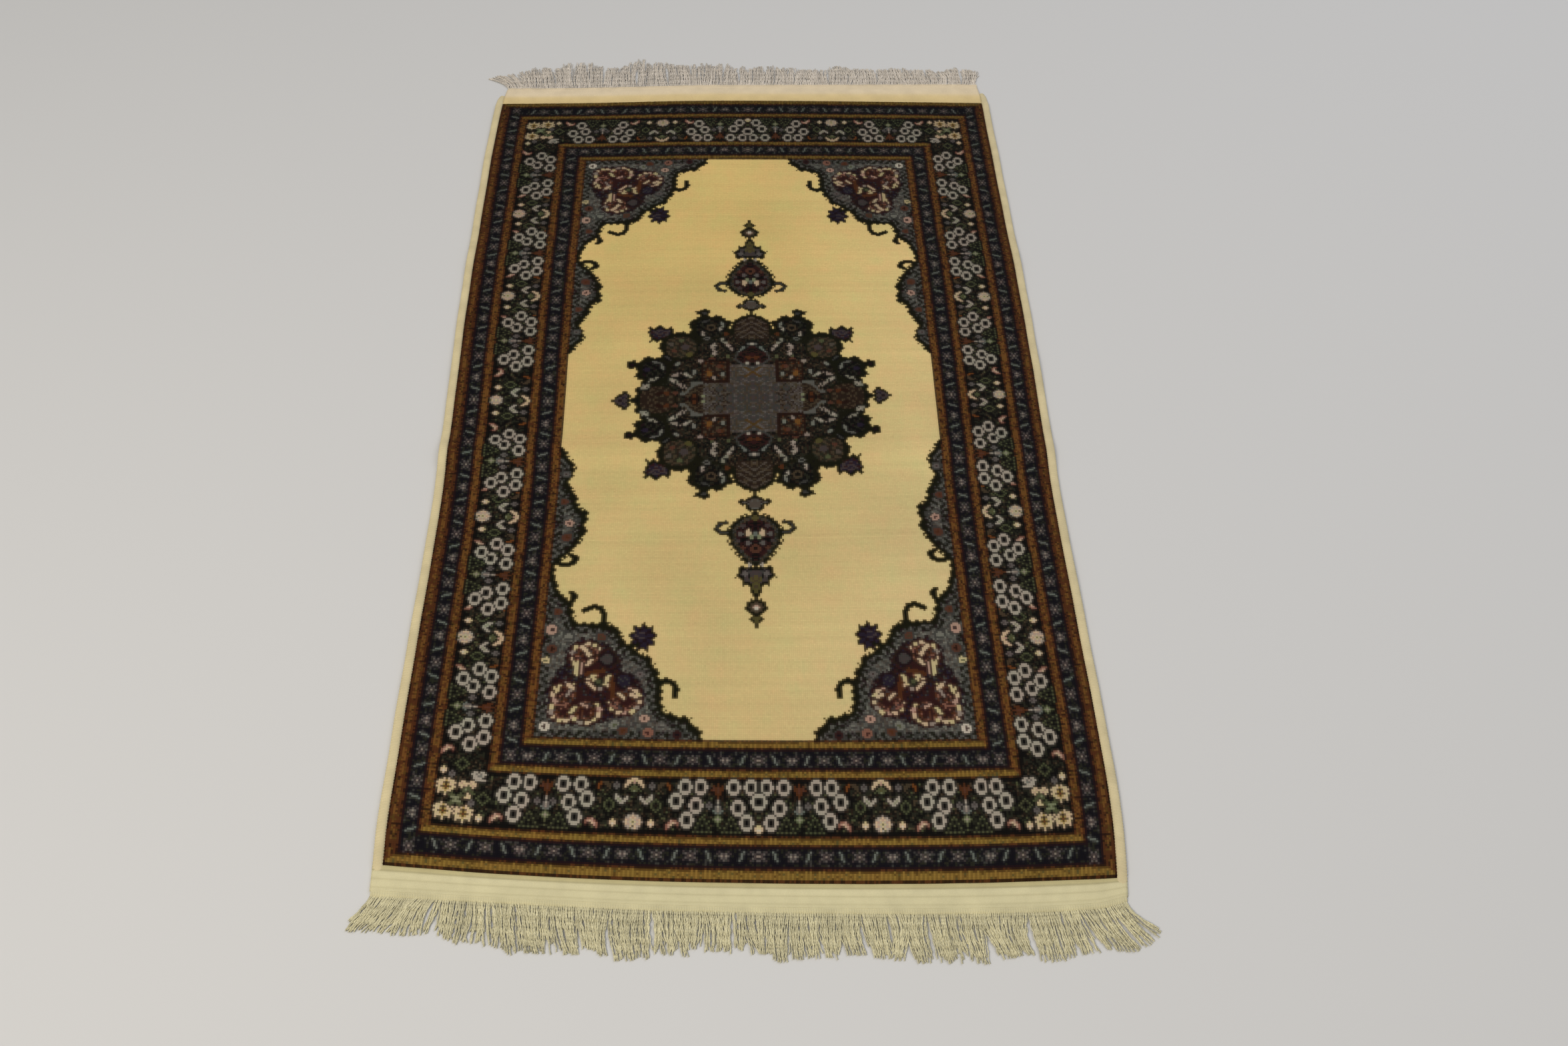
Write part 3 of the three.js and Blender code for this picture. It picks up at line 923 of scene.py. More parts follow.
# Right halves of the pendant's forms, from the medallion to its tip
FAN = [(0, 117), (6, 118), (8.5, 121), (13.5, 122), (12, 125.5), (8, 126.5), (6, 131), (2, 133.5)]
DROP = [
    (0, 137), (6, 138), (12, 141), (17, 146), (21, 152), (22, 159), (21, 166), (17.5, 174), (13, 181),
    (8, 187), (5, 191),
]
LOTUS = [
    (0, 194), (14, 193), (14, 199), (16, 203.5), (11.5, 205), (10.5, 211.5), (6, 210), (4.5, 216), (1.5, 224),
]
LOTUS_HEART = [(0, 201), (4.6, 204), (3, 214), (0, 222)]
TIP = [(3.6, 241), (4.6, 246), (0, 253)]
PENDANT_HOOK = [(17, 151), (23, 156), (29, 157), (33, 152), (30.5, 147), (25.5, 145.5)]
# Small ovals on the pendant: place, radii and dye
PENDANT_SPOTS = (
    ((0, 141), (3.4, 3), "olive"), ((10, 149.5), (2.6, 2.2), "lilac_dark"),
    ((5.8, 157), (2.0, 4.4), "rose"), ((3.2, 161.5), (2, 2.2), "leaf_pale"),
    ((0, 158.5), (2.4, 2.2), "teal"), ((12.5, 158), (2.2, 2.6), "lilac"),
    ((14.5, 166), (2.0, 2.0), "lilac_dark"), ((6.2, 168), (2.4, 2.4), "lilac"),
    ((10.5, 173), (2.0, 2.0), "wine"), ((0, 174), (4.8, 5), "wine"), ((0, 174), (1.7, 1.7), "ground"),
    ((8.5, 200), (2.2, 2.6), "lilac"), ((5.2, 191.5), (1.2, 2.6), "ring"),
)


def pendant(chart):
    """The chain of forms on the long axis, from the medallion to its tip."""

    def mirrored(points):
        return chart.form(points + [(-u, v) for u, v in reversed(points)])

    stem = chart.line([(0, 108), (0, 140)], 3.2)
    hook = chart.line(PENDANT_HOOK, 3.8)
    bars = chart.line([(0, 188), (0, 200)], 4)
    fan, drop, lotus, tip = (mirrored(points) for points in (FAN, DROP, LOTUS, TIP))
    bud = np.minimum(chart.oval((0, 233.5), (8.4, 7.6)), chart.line([(0, 220), (0, 230)], 2.8))
    for reach in (stem, hook, bars):
        chart.paint("night_green", reach < 0.4)
    chart.paint("slate_dark", hook < -1.2)
    for reach in (fan, lotus, bud, tip):
        chart.outline(reach, 0.2, 1.2)
    chart.outline(drop, 0.4, 2.4)
    chart.mottle(fan < -2, ("heart", 0.6), ("slate", 0.2), ("plum", 0.2))
    chart.mottle(drop < -1.8, ("umber", 0.35), ("slate_dark", 0.25), ("leaf_dark", 0.4))
    chart.mottle(drop < -5, ("ground", 0.45), ("maroon", 0.35), ("plum", 0.2))
    chart.mottle(lotus < -2, ("lilac_dark", 0.5), ("ground", 0.25), ("slate_dark", 0.25))
    chart.mottle(mirrored(LOTUS_HEART) < 0, ("olive", 0.7), ("umber", 0.3))
    chart.paint("umber", bud < -2.4)
    chart.paint("pink", chart.disc((0, 233.5), 2.6) < 0)
    chart.paint("white", chart.disc((0, 234), 1.6) < 0)
    chart.paint("olive", tip < -1.6)
    for at, radii, dye in PENDANT_SPOTS:
        chart.paint(dye, chart.oval(at, radii) < 0)


def knotted_design(across, along_rug):
    """Dye numbers of every knot, rows towards the far end and columns towards the right."""
    chart = Chart(across // 2, along_rug // 2)
    for step in (border, guard_motifs, main_motifs, corner_piece, pendant, medallion):
        step(chart)
    right = np.concatenate([chart.dye[::-1], chart.dye])
    return np.concatenate([right[:, ::-1], right], axis=1)


# How bright the silk is along the rug: where dye lots change, and painted light and shade where the folds
# catch or turn from the light
ABRASH_AND_FOLD_LIGHT = table(
    "v light",
    (-467, 0.98), (-340, 0.97), (-250, 0.98), (-160, 0.97), (-100, 0.99), (-75, 1.03), (-55, 0.97),
    (0, 0.99), (54, 1.03), (100, 0.98), (130, 1.01), (155, 0.98), (190, 1.03), (260, 1.0),
    (340, 1.02), (467, 1.0),
)
# How much the colour varies: how far cut ends lean over the next knot, from knot to knot, from row
# to row, in streaks of 80 mm along the rows, and in patches as wide as a hand
LEAN = 0.08
KNOT_UNEVENNESS = 0.02
ROW_UNEVENNESS = 0.012
STREAK = 0.13
PATCH = 1.2
# How much the heights of the tufts vary
TUFT_UNEVENNESS = 0.06
# Rows and columns of knots under which the plain underside has one face
UNDERSIDE_CELL = (5, 41)
# In the map for baking, where the top starts, and how deep the strip below it is
BAKE_TOP = 0.12
BAKE_STRIP = 0.11


def smooth(values, width, *axes):
    """Runs an average of some width along the axes of an array, one after another."""
    kernel = np.ones(width) / width
    for axis in axes:
        values = np.apply_along_axis(lambda line: np.convolve(line, kernel, mode="same"), axis, values)
    return values


def knot_colours(design, dyes, seed):
    """Linear colours of the knots: their dye, uneven from knot to knot and from row to row, with painted
    light and shade on the folds and painted sheen on the field.
    """
    rng = np.random.default_rng(seed)
    colours = np.array([getattr(dyes, name)[:] for name in DYE_NAMES])[design]
    shape = design.shape

    def dyed(*names):
        return np.isin(design, [DYE_NAMES.index(name) for name in names])

    # Cut ends lean into the knots beside them
    for axis in (0, 1):
        beside = np.roll(colours, 1, axis) + np.roll(colours, -1, axis)
        colours = (1 - 2 * LEAN) * colours + LEAN * beside
    v = np.linspace(-HALF_ALONG, HALF_ALONG, shape[0])[:, None]
    knots = KNOT_UNEVENNESS * rng.standard_normal(shape)
    rows = ROW_UNEVENNESS * rng.standard_normal(shape[0])[:, None]
    streaks = STREAK * smooth(smooth(rng.standard_normal(shape), 51, 1), 3, 0)
    patches = PATCH * smooth(rng.standard_normal(shape), 31, 0, 1, 0, 1)
    # The painted light and shade of the folds comes in with the dye lots along the rug
    light = (1 + knots + rows + streaks + patches) * along(ABRASH_AND_FOLD_LIGHT, "light", v)
    colours = colours * light[..., None]
    # Painted sheen on the field: greyer towards the near end and paler to the right, where the silk catches
    # the light differently
    field = dyed("field")
    u = np.linspace(-HALF_ACROSS, HALF_ACROSS, shape[1])
    sheen_greyer = field * np.clip(0.45 - v / 500, 0, 1)
    sheen_paler = field * np.clip(u / 170, 0, 1)
    colours[..., 0] *= 1 - 0.05 * sheen_greyer + 0.07 * sheen_paler
    colours[..., 1] *= 1 + 0.1 * sheen_paler
    colours[..., 2] *= 1 + 0.2 * sheen_greyer + 0.25 * sheen_paler
    # Painted shade of the nap: seen against it, the figured parts are dimmer towards the far end, the gold
    # ones most
    far = 0.5 + v / (2 * HALF_ALONG)
    gold = dyed("gold", "brass", "gold_dark")
    pale = dyed("ring", "rose", "cream", "teal", "lilac", "shell")
    colours *= np.where(field, 1, 1 - (0.28 + 0.2 * gold + 0.14 * pale) * far)[..., None]
    # Pinker and greener lots of the pale yarns
    tint = smooth(rng.standard_normal(shape), 9, 0, 1)
    colours[..., 0] *= 1 + 0.16 * tint
    colours[..., 1] *= 1 - 0.08 * tint
    return np.clip(colours, 0, 1)


def add(tree, kind, inputs=None, **settings):
    """Adds a node with its settings.

    Each input is a value, another node's output, or another node, whose first output is linked.
    """
    made = tree.nodes.new(kind)
    for name, value in settings.items():
        setattr(made, name, value)
    for name, value in (inputs or {}).items():
        if isinstance(value, bpy.types.Node):
            value = value.outputs[0]
        if isinstance(value, bpy.types.NodeSocket):
            tree.links.new(value, made.inputs[name])
        else:
            made.inputs[name].default_value = value
    return made


def new_material(name):
    """An empty node material and its tree."""
    material = bpy.data.materials.new(name)
    material.use_nodes = True
    material.node_tree.nodes.clear()
    return material, material.node_tree


def silk_pile():
    """Cut silk pile: a low soft sheen over matt tufts, each knot a small rounded cushion."""
    material, tree = new_material("knotted_silk_pile")
    dye = add(tree, "ShaderNodeAttribute", attribute_name="knot_dye")
    knots = add(tree, "ShaderNodeUVMap", uv_map="knots")
    split = add(tree, "ShaderNodeSeparateXYZ", {"Vector": knots})
    ridges = []
    for axis in ("X", "Y"):
        turn = add(tree, "ShaderNodeMath", {0: split.outputs[axis], 1: math.pi}, operation="MULTIPLY")
        wave = add(tree, "ShaderNodeMath", {0: turn}, operation="SINE")
        ridges.append(add(tree, "ShaderNodeMath", {0: wave}, operation="ABSOLUTE"))
    cushion = add(tree, "ShaderNodeMath", dict(enumerate(ridges)), operation="MULTIPLY")
    place = add(tree, "ShaderNodeTexCoord").outputs["Object"]
    # Silk ends half a millimetre wide
    ends = add(tree, "ShaderNodeTexNoise", {"Vector": place, "Scale": 1800.0, "Detail": 2.0})
    height = add(tree, "ShaderNodeMath", {0: cushion, 1: ends}, operation="ADD")
    bump = add(tree, "ShaderNodeBump", {"Height": height, "Strength": 0.22, "Distance": 0.0004})
    # Painted shade: each knot's colour darkens towards its borders, where the tufts part
    sides = {"Value": cushion, "From Min": 0.0, "From Max": 0.6, "To Min": 0.93, "To Max": 1.02}
    shade = add(tree, "ShaderNodeMapRange", sides)
    colour = add(tree, "ShaderNodeVectorMath", {0: dye, "Scale": shade}, operation="SCALE")
    roughness = add(tree, "ShaderNodeMapRange", {"Value": ends, "To Min": 0.55, "To Max": 0.75})
    look = {"Base Color": colour, "Roughness": roughness, "Normal": bump}
    sheen = {"Sheen Weight": 0.01, "Sheen Roughness": 0.35, "Specular IOR Level": 0.04}
    shader = add(tree, "ShaderNodeBsdfPrincipled", {**look, **sheen})
    add(tree, "ShaderNodeOutputMaterial", {"Surface": shader})
    return material


def yarn(name, colour, pitch, mottle, attribute=None):
    """Undyed yarn: matt, with fine fibres pitch mm apart, mottled. An attribute can tint it."""
    material, tree = new_material(name)
    place = add(tree, "ShaderNodeTexCoord").outputs["Object"]
    fibres = add(tree, "ShaderNodeTexNoise", {"Vector": place, "Scale": 1 / (pitch * MM), "Detail": 3.0})
    # Blotches about 15 mm wide, where the yarn is a little darker or lighter
    blotches = add(tree, "ShaderNodeTexNoise", {"Vector": place, "Scale": 70.0, "Detail": 2.0})
    mixed = add(tree, "ShaderNodeMath", {0: fibres, 1: blotches}, operation="ADD")
    spread = {"Value": mixed, "From Min": 0.7, "From Max": 1.3, "To Min": 1 - mottle, "To Max": 1 + mottle}
    shade = add(tree, "ShaderNodeMapRange", spread)
    tint = add(tree, "ShaderNodeVectorMath", {0: colour[:], "Scale": shade}, operation="SCALE")
    if attribute:
        tone = add(tree, "ShaderNodeAttribute", attribute_name=attribute)
        tint = add(tree, "ShaderNodeVectorMath", {0: tint, 1: tone}, operation="MULTIPLY")
    bump = add(tree, "ShaderNodeBump", {"Height": fibres, "Strength": 0.4, "Distance": 0.0003})
    look = {"Base Color": tint, "Roughness": 0.75, "Normal": bump}
    sheen = {"Sheen Weight": 0.08, "Specular IOR Level": 0.2}
    shader = add(tree, "ShaderNodeBsdfPrincipled", {**look, **sheen})
    add(tree, "ShaderNodeOutputMaterial", {"Surface": shader})
    return material


def new_piece(name, mesh, node, slot_name, *materials):
    """Puts a mesh in the scene as a piece that stands for a node of the frame."""
    piece = bpy.data.objects.new(name, mesh)
    bpy.context.scene.collection.objects.link(piece)
    for material in materials:
        mesh.materials.append(material)
    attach(piece, "root")
    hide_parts(node)
    return piece


def mesh_of(name, points, edges, faces):
    """A mesh from millimetres in the tables' frame."""
    points = np.array(points, float)
    points[:, :2] += frame_shift()
    mesh = bpy.data.meshes.new(name)
    mesh.from_pydata((points * MM).tolist(), edges, faces)
    mesh.update()
    return mesh


def closed_sheet(rows, columns, coarse_rows, coarse_columns):
    """Faces of a closed sheet: a fine top, a rim, and an underside in coarse cells.

    Top vertices come first, row after row, and the underside's after them in the same order.
    """
    width = columns + 1
    count = (rows + 1) * width

    def top(r, c):
        return r * width + c

    def under(r, c):
        return count + top(r, c)

    faces = [
        (top(r, c), top(r, c + 1), top(r + 1, c + 1), top(r + 1, c))
        for r in range(rows)
        for c in range(columns)
    ]
    tops = len(faces)
    for c in range(columns):
        faces.append((under(0, c), under(0, c + 1), top(0, c + 1), top(0, c)))
        faces.append((under(rows, c + 1), under(rows, c), top(rows, c), top(rows, c + 1)))
    for r in range(rows):
        faces.append((under(r + 1, 0), under(r, 0), top(r, 0), top(r + 1, 0)))
        faces.append((under(r, columns), under(r + 1, columns), top(r + 1, columns), top(r, columns)))
    rims = len(faces)
    for r0 in range(0, rows, coarse_rows):
        r1 = min(r0 + coarse_rows, rows)
        for c0 in range(0, columns, coarse_columns):
            c1 = min(c0 + coarse_columns, columns)
            near = range(c0, c1 + 1) if r0 == 0 else (c0, c1)
            far = range(c0, c1 + 1) if r1 == rows else (c0, c1)
            left = range(r0 + 1, r1) if c0 == 0 else ()
            right = range(r0 + 1, r1) if c1 == columns else ()
            ring = [under(r0, c) for c in near] + [under(r, c1) for r in right]
            ring += [under(r1, c) for c in reversed(far)] + [under(r, c0) for r in reversed(left)]
            faces.append(tuple(reversed(ring)))
    return faces, tops, rims


def sheet_mesh(name, x, y, low, top, coarse_rows, coarse_columns):
    """A closed sheet over a grid of places, from its underside up to its top.

    Returns the mesh, its points in millimetres, and how many of its faces are on top and in all but
    the underside.
    """
    faces, tops, rims = closed_sheet(x.shape[0] - 1, x.shape[1] - 1, coarse_rows, coarse_columns)
    points = np.concatenate([np.stack([x, y, z], -1).reshape(-1, 3) for z in (top, low)])
    # Points that no face uses are dropped
    used = np.unique(np.concatenate([np.array(face) for face in faces]))
    renumber = np.zeros(len(points), int)
    renumber[used] = np.arange(len(used))
    points = points[used]
    faces = [tuple(renumber[list(face)].tolist()) for face in faces]
    return mesh_of(name, points, [], faces), points, tops, rims


def pile_points(rows, columns, sizes):
    """Grid points of a stretch of the pile, on the cloth's own edges."""
    v = (rows / sizes.knots_along * 2 - 1) * HALF_ALONG
    rise = along(SKEW, "rise", v)[:, None]
    near_middle, far_middle = pile_end(-1, 60), pile_end(1, 60)
    part = (along(BEAT, "y", v) - near_middle) / (far_middle - near_middle)
    across = columns / columns.max()
    part, across = np.meshgrid(part, across, indexing="ij")
    drift = DESIGN_DRIFT * 4 * across * (1 - across)
    x = np.zeros_like(part)
    for _ in range(EDGE_ROUNDS):
        y = lerp(pile_end(-1, x), pile_end(1, x), part) + rise * np.clip(x, -SKEW_REACH, SKEW_REACH)
        x = lerp(edge_x(-1, y), edge_x(1, y), across) + drift
    side_room = np.minimum(x - edge_x(-1, y), edge_x(1, y) - x)
    end_room = np.minimum(y - pile_end(-1, x), pile_end(1, x) - y)
    short = np.clip(1 - np.minimum(side_room, end_room) / sizes.shoulder_reach, 0, 1)
    top = sizes.pile_top - sizes.shoulder * (1 - np.sqrt(1 - short**2))
    return x, y, lift(x, y), top


def make_pile(sizes, dyes):
    """The knotted pile in two halves, near and far, which meet knot to knot."""
    half_rows = sizes.knots_along // 2
    design = knotted_design(sizes.knots_across, sizes.knots_along)
    colours = knot_colours(design, dyes, sizes.seed)
    rng = np.random.default_rng(sizes.seed + 1)
    tufts = TUFT_UNEVENNESS * rng.standard_normal((sizes.knots_along + 1, sizes.knots_across + 1))
    silk = silk_pile()
    back = yarn("woven_back", dyes.amber, pitch=1.6, mottle=0.2)
    columns = np.arange(sizes.knots_across + 1)
    for name, first in (("pile_near", 0), ("pile_far", half_rows)):
        rows = np.arange(first, first + half_rows + 1)
        x, y, low, top = pile_points(rows, columns, sizes)
        height = low + top + tufts[rows]
        mesh, points, tops, rims = sheet_mesh(name, x, y, low, height, *UNDERSIDE_CELL)
        shown = colours[first : first + half_rows]
        dye_of_face = np.ones((len(mesh.polygons), 4))
        dye_of_face[:tops, :3] = shown.reshape(-1, 3)
        # The cut sides show the same silk as the knots beside them
        ends = dye_of_face[tops : tops + 2 * sizes.knots_across]
        ends[0::2, :3], ends[1::2, :3] = shown[0], shown[-1]
        flanks = dye_of_face[tops + 2 * sizes.knots_across : rims]
        flanks[0::2, :3], flanks[1::2, :3] = shown[:, 0], shown[:, -1]
        attribute = mesh.attributes.new("knot_dye", "FLOAT_COLOR", "FACE")
        attribute.data.foreach_set("color", dye_of_face.ravel())
        add_maps(mesh, points, len(columns), half_rows + 1, tops, first)
        piece = new_piece(name, mesh, "woven_cloth", "silk_pile", silk, back)
        underside = np.arange(len(mesh.polygons)) >= rims
        mesh.polygons.foreach_set("material_index", underside.astype(int))
        width, length = np.ptp(points[:, :2], axis=0) * MM


def add_maps(mesh, points, width, height, tops, first):
    """A map in knots for the pile's texture, and one that fills a square for baking.

    In the second the top lies above a narrow strip that holds the rim and the underside.
    """
    loops = np.zeros(len(mesh.loops), int)
    mesh.loops.foreach_get("vertex_index", loops)
    top_corners = tops * 4
    knots = np.zeros((len(loops), 2))
    index = loops[:top_corners]
    knots[:top_corners, 0] = index % width
    knots[:top_corners, 1] = index // width + first
    bake = np.zeros((len(loops), 2))
    bake[:top_corners, 0] = knots[:top_corners, 0] / (width - 1)
    bake[:top_corners, 1] = BAKE_TOP + (1 - BAKE_TOP) * (index // width) / (height - 1)
    rest = points[loops[top_corners:], :2]
    flat = (rest - points[:, :2].min(axis=0)) / np.ptp(points[:, :2], axis=0)
    bake[top_corners:] = flat * (1, BAKE_STRIP)
    for name, values in (("OFBake", bake), ("knots", knots)):
        mesh.uv_layers.new(name=name).data.foreach_set("uv", values.ravel())


# How light and how warm the flatwoven yarn is from the pile, 0, to the fringe, 1. The darker, warmer strip
# beside the pile is painted shade from the taller pile, in the near band together with the yarn's own duller,
# pinkish strip; the near band's later dips are its darker picks
NEAR_PICKS_AND_SHADE = table(
    "t tone warm",
    (0, 0.74, 0.08), (0.15, 0.82, 0.07), (0.22, 0.72, 0.04), (0.28, 1.02, 0), (0.48, 1.05, 0),
    (0.54, 0.93, 0.01), (0.6, 1.04, 0), (0.8, 1.05, 0), (0.86, 0.95, 0.01), (0.92, 1.02, 0),
    (1, 1.0, 0),
)
FAR_BAND_SHADE = table("t tone warm", (0, 0.8, 0.15), (0.35, 0.9, 0.12), (0.55, 1.0, 0.02), (1, 1.0, 0))
# How far the ridges of the weft stand up, points across one ridge or rib, and along a band
WEFT_RELIEF = 0.2
RIDGE_POINTS = 4
BAND_COLUMNS = 260
# Where the cords end along the far band, as a part of its depth
CORD_END = 0.62
# Length of their narrowing tips
CORD_TIP = 9
# The share of strands that stray out of their lock
STRAYS = 0.03
# Thickness of a strand as a part of its width
STRAND_FLATNESS = 0.7
# Width along a strand, and of the three layers of strands: the lowest is the broadest, an underlay for the
# others, and the dimmest, by painted shade under the strands above it
STRAND_TAPER = ((0, 0.2, 0.85, 1), (0.6, 1.0, 1.0, 0.6))
LAYER_WIDTHS = (1.7, 1.2, 1.0)
# The heading's section: out from the band, up, and how much its ribs show there
HEADING_SECTION = (
    (-0.14, 0, 0), (-0.14, 0.9, 0), (0.02, 0.98, 0), (0.12, 0.84, 0.1), (0.35, 1.0, 0.3), (0.7, 0.85, 0.4),
    (0.95, 0.5, 0.5), (1.0, 0, 0.5),
)


def make_bands(sizes, dyes):
    """The flatwoven ends: low ridges of weft, the far end plumper than the near one."""
    for name, direction, depth, crown, pick_tones_and_shade, colour in (
        ("band_near", -1, sizes.near_band, 0.0, NEAR_PICKS_AND_SHADE, dyes.near_band_yarn),
        ("band_far", 1, sizes.far_band, sizes.far_crown, FAR_BAND_SHADE, dyes.far_band_yarn),
    ):
        ridges = round(depth / sizes.weft_pitch)
        rows, columns = ridges * RIDGE_POINTS, BAND_COLUMNS
        t, across = np.meshgrid(np.linspace(0, 1, rows + 1), np.linspace(0, 1, columns + 1), indexing="ij")
        reach = band_reach(direction, t, sizes)
        x = np.zeros_like(t)
        for _ in range(EDGE_ROUNDS):
            y = lerp(pile_end(direction, x) - direction * PRESS, band_end(direction, x, sizes), t)
            x = lerp(edge_x(-1, y) - reach, edge_x(1, y) + reach, across)
        wander = 0.5 * np.sin(across * 23 + 2 * np.sin(across * 9))
        weft = WEFT_RELIEF * np.abs(np.sin(np.pi * (ridges * t + wander)))
        slack = 1 + 0.14 * np.sin(across * 41 + 3 * np.sin(across * 17))
        high = sizes.band_top - WEFT_RELIEF + weft + crown * slack * np.sin(np.pi * np.clip(t * 1.1, 0, 1))
        # The tone carries the picks and the painted shade beside the pile
        grids = x, y, lift(x, y), high, along(pick_tones_and_shade, "tone", t), along(pick_tones_and_shade, "warm", t)
        # Rows run towards the far end in every sheet, so that its faces point outwards
        x, y, low, high, tone, warm = (grid[::direction] for grid in grids)
        mesh, points, tops, _ = sheet_mesh(name, x, y, low, low + high, rows, columns)
        tones = np.ones((len(points), 4))
        tinted = np.stack([tone * (1 + warm / 2), tone, tone * (1 - 2 * warm)], -1)
        tones[: tone.size, :3] = tinted.reshape(-1, 3)
        mesh.attributes.new("tone", "FLOAT_COLOR", "POINT").data.foreach_set("color", tones.ravel())
        mesh.polygons.foreach_set("use_smooth", np.arange(len(mesh.polygons)) < tops)
        cream = yarn("flatwoven_cream_" + name, colour, pitch=0.5, mottle=0.08, attribute="tone")
        piece = new_piece(name, mesh, "woven_cloth", "cream_yarn", cream)
        np.ptp(points[:, 0]) * MM


def new_tree(name, **sockets):
    """A geometry tree with its named inputs and their defaults, and a material as the last one."""
    tree = bpy.data.node_groups.new(name, "GeometryNodeTree")
    tree.interface.new_socket("Geometry", in_out="INPUT", socket_type="NodeSocketGeometry")
    identifiers = {}
    for socket_name, value in sockets.items():
        socket = tree.interface.new_socket(socket_name, in_out="INPUT", socket_type="NodeSocketFloat")
        socket.default_value = value
        identifiers[socket_name] = socket.identifier
    socket = tree.interface.new_socket("Material", in_out="INPUT", socket_type="NodeSocketMaterial")
    identifiers["Material"] = socket.identifier
    tree.interface.new_socket("Geometry", in_out="OUTPUT", socket_type="NodeSocketGeometry")
    return tree, identifiers, add(tree, "NodeGroupInput").outputs


def finish_tree(tree, mesh, given):
    """Smooth shading, real geometry and the material at the end of a tree."""
    soft = add(tree, "GeometryNodeSetShadeSmooth", {"Geometry": mesh})
    real = add(tree, "GeometryNodeRealizeInstances", {"Geometry": soft})
    dressed = add(tree, "GeometryNodeSetMaterial", {"Geometry": real, "Material": given["Material"]})
    add(tree, "NodeGroupOutput", {"Geometry": dressed})


def grown(name, guide, tree, identifiers, **values):
    """Runs a geometry tree on a guide mesh and keeps the result as a plain mesh."""
    holder = bpy.data.objects.new(name + "_guide", guide)
    bpy.context.scene.collection.objects.link(holder)
    modifier = holder.modifiers.new("nodes", "NODES")
    modifier.node_group = tree
    for socket_name, value in values.items():
        modifier[identifiers[socket_name]] = value
    depsgraph = bpy.context.evaluated_depsgraph_get()
    mesh = bpy.data.meshes.new_from_object(holder.evaluated_get(depsgraph))
    mesh.name = name
    bpy.data.objects.remove(holder)
    if not mesh.polygons:
        raise RuntimeError(f"{name} came out empty")
    return mesh


def guide_mesh(name, lines):
    """Separate open lines as edges, with the width and tone of their points as attributes."""
    points, edges, widths, tones = [], [], [], []
    for places, width, tone in lines:
        first = len(points)
        points.extend(places.tolist())
        widths.extend(width.tolist())
        tones.extend(np.broadcast_to(tone, len(places)).tolist())
        edges.extend((first + i, first + i + 1) for i in range(len(places) - 1))
    mesh = mesh_of(name, points, edges, [])
    for attribute, values in (("width", widths), ("tone", tones)):
        mesh.attributes.new(attribute, "FLOAT", "POINT").data.foreach_set("value", np.array(values))
    return mesh


def strand_tree():
    """Strands swept along guide lines and twisted as they go."""
    tree, identifiers, given = new_tree(
        "twisted_strands", Thickness=0.0016, Twist=900.0, Flatness=STRAND_FLATNESS
    )
    curves = add(tree, "GeometryNodeMeshToCurve", {"Mesh": given["Geometry"]})
    run = add(tree, "GeometryNodeSplineParameter").outputs["Length"]
    turn = add(tree, "ShaderNodeMath", {0: run, 1: given["Twist"]}, operation="MULTIPLY")
    tilted = add(tree, "GeometryNodeSetCurveTilt", {"Curve": curves, "Tilt": turn})
    width = add(tree, "GeometryNodeInputNamedAttribute", {"Name": "width"}, data_type="FLOAT")
    sized = add(tree, "GeometryNodeSetCurveRadius", {"Curve": tilted, "Radius": width.outputs["Attribute"]})
    profile = add(tree, "GeometryNodeCurvePrimitiveCircle", {"Resolution": 5, "Radius": 0.5}, mode="RADIUS")
    thin = add(tree, "ShaderNodeMath", {0: given["Thickness"], 1: given["Flatness"]}, operation="MULTIPLY")
    size = add(tree, "ShaderNodeCombineXYZ", {"X": given["Thickness"], "Y": thin, "Z": 1.0})
    section = add(tree, "GeometryNodeTransform", {"Geometry": profile, "Scale": size})
    sweep = {"Curve": sized, "Profile Curve": section, "Fill Caps": True}
    finish_tree(tree, add(tree, "GeometryNodeCurveToMesh", sweep), given)
    return tree, identifiers


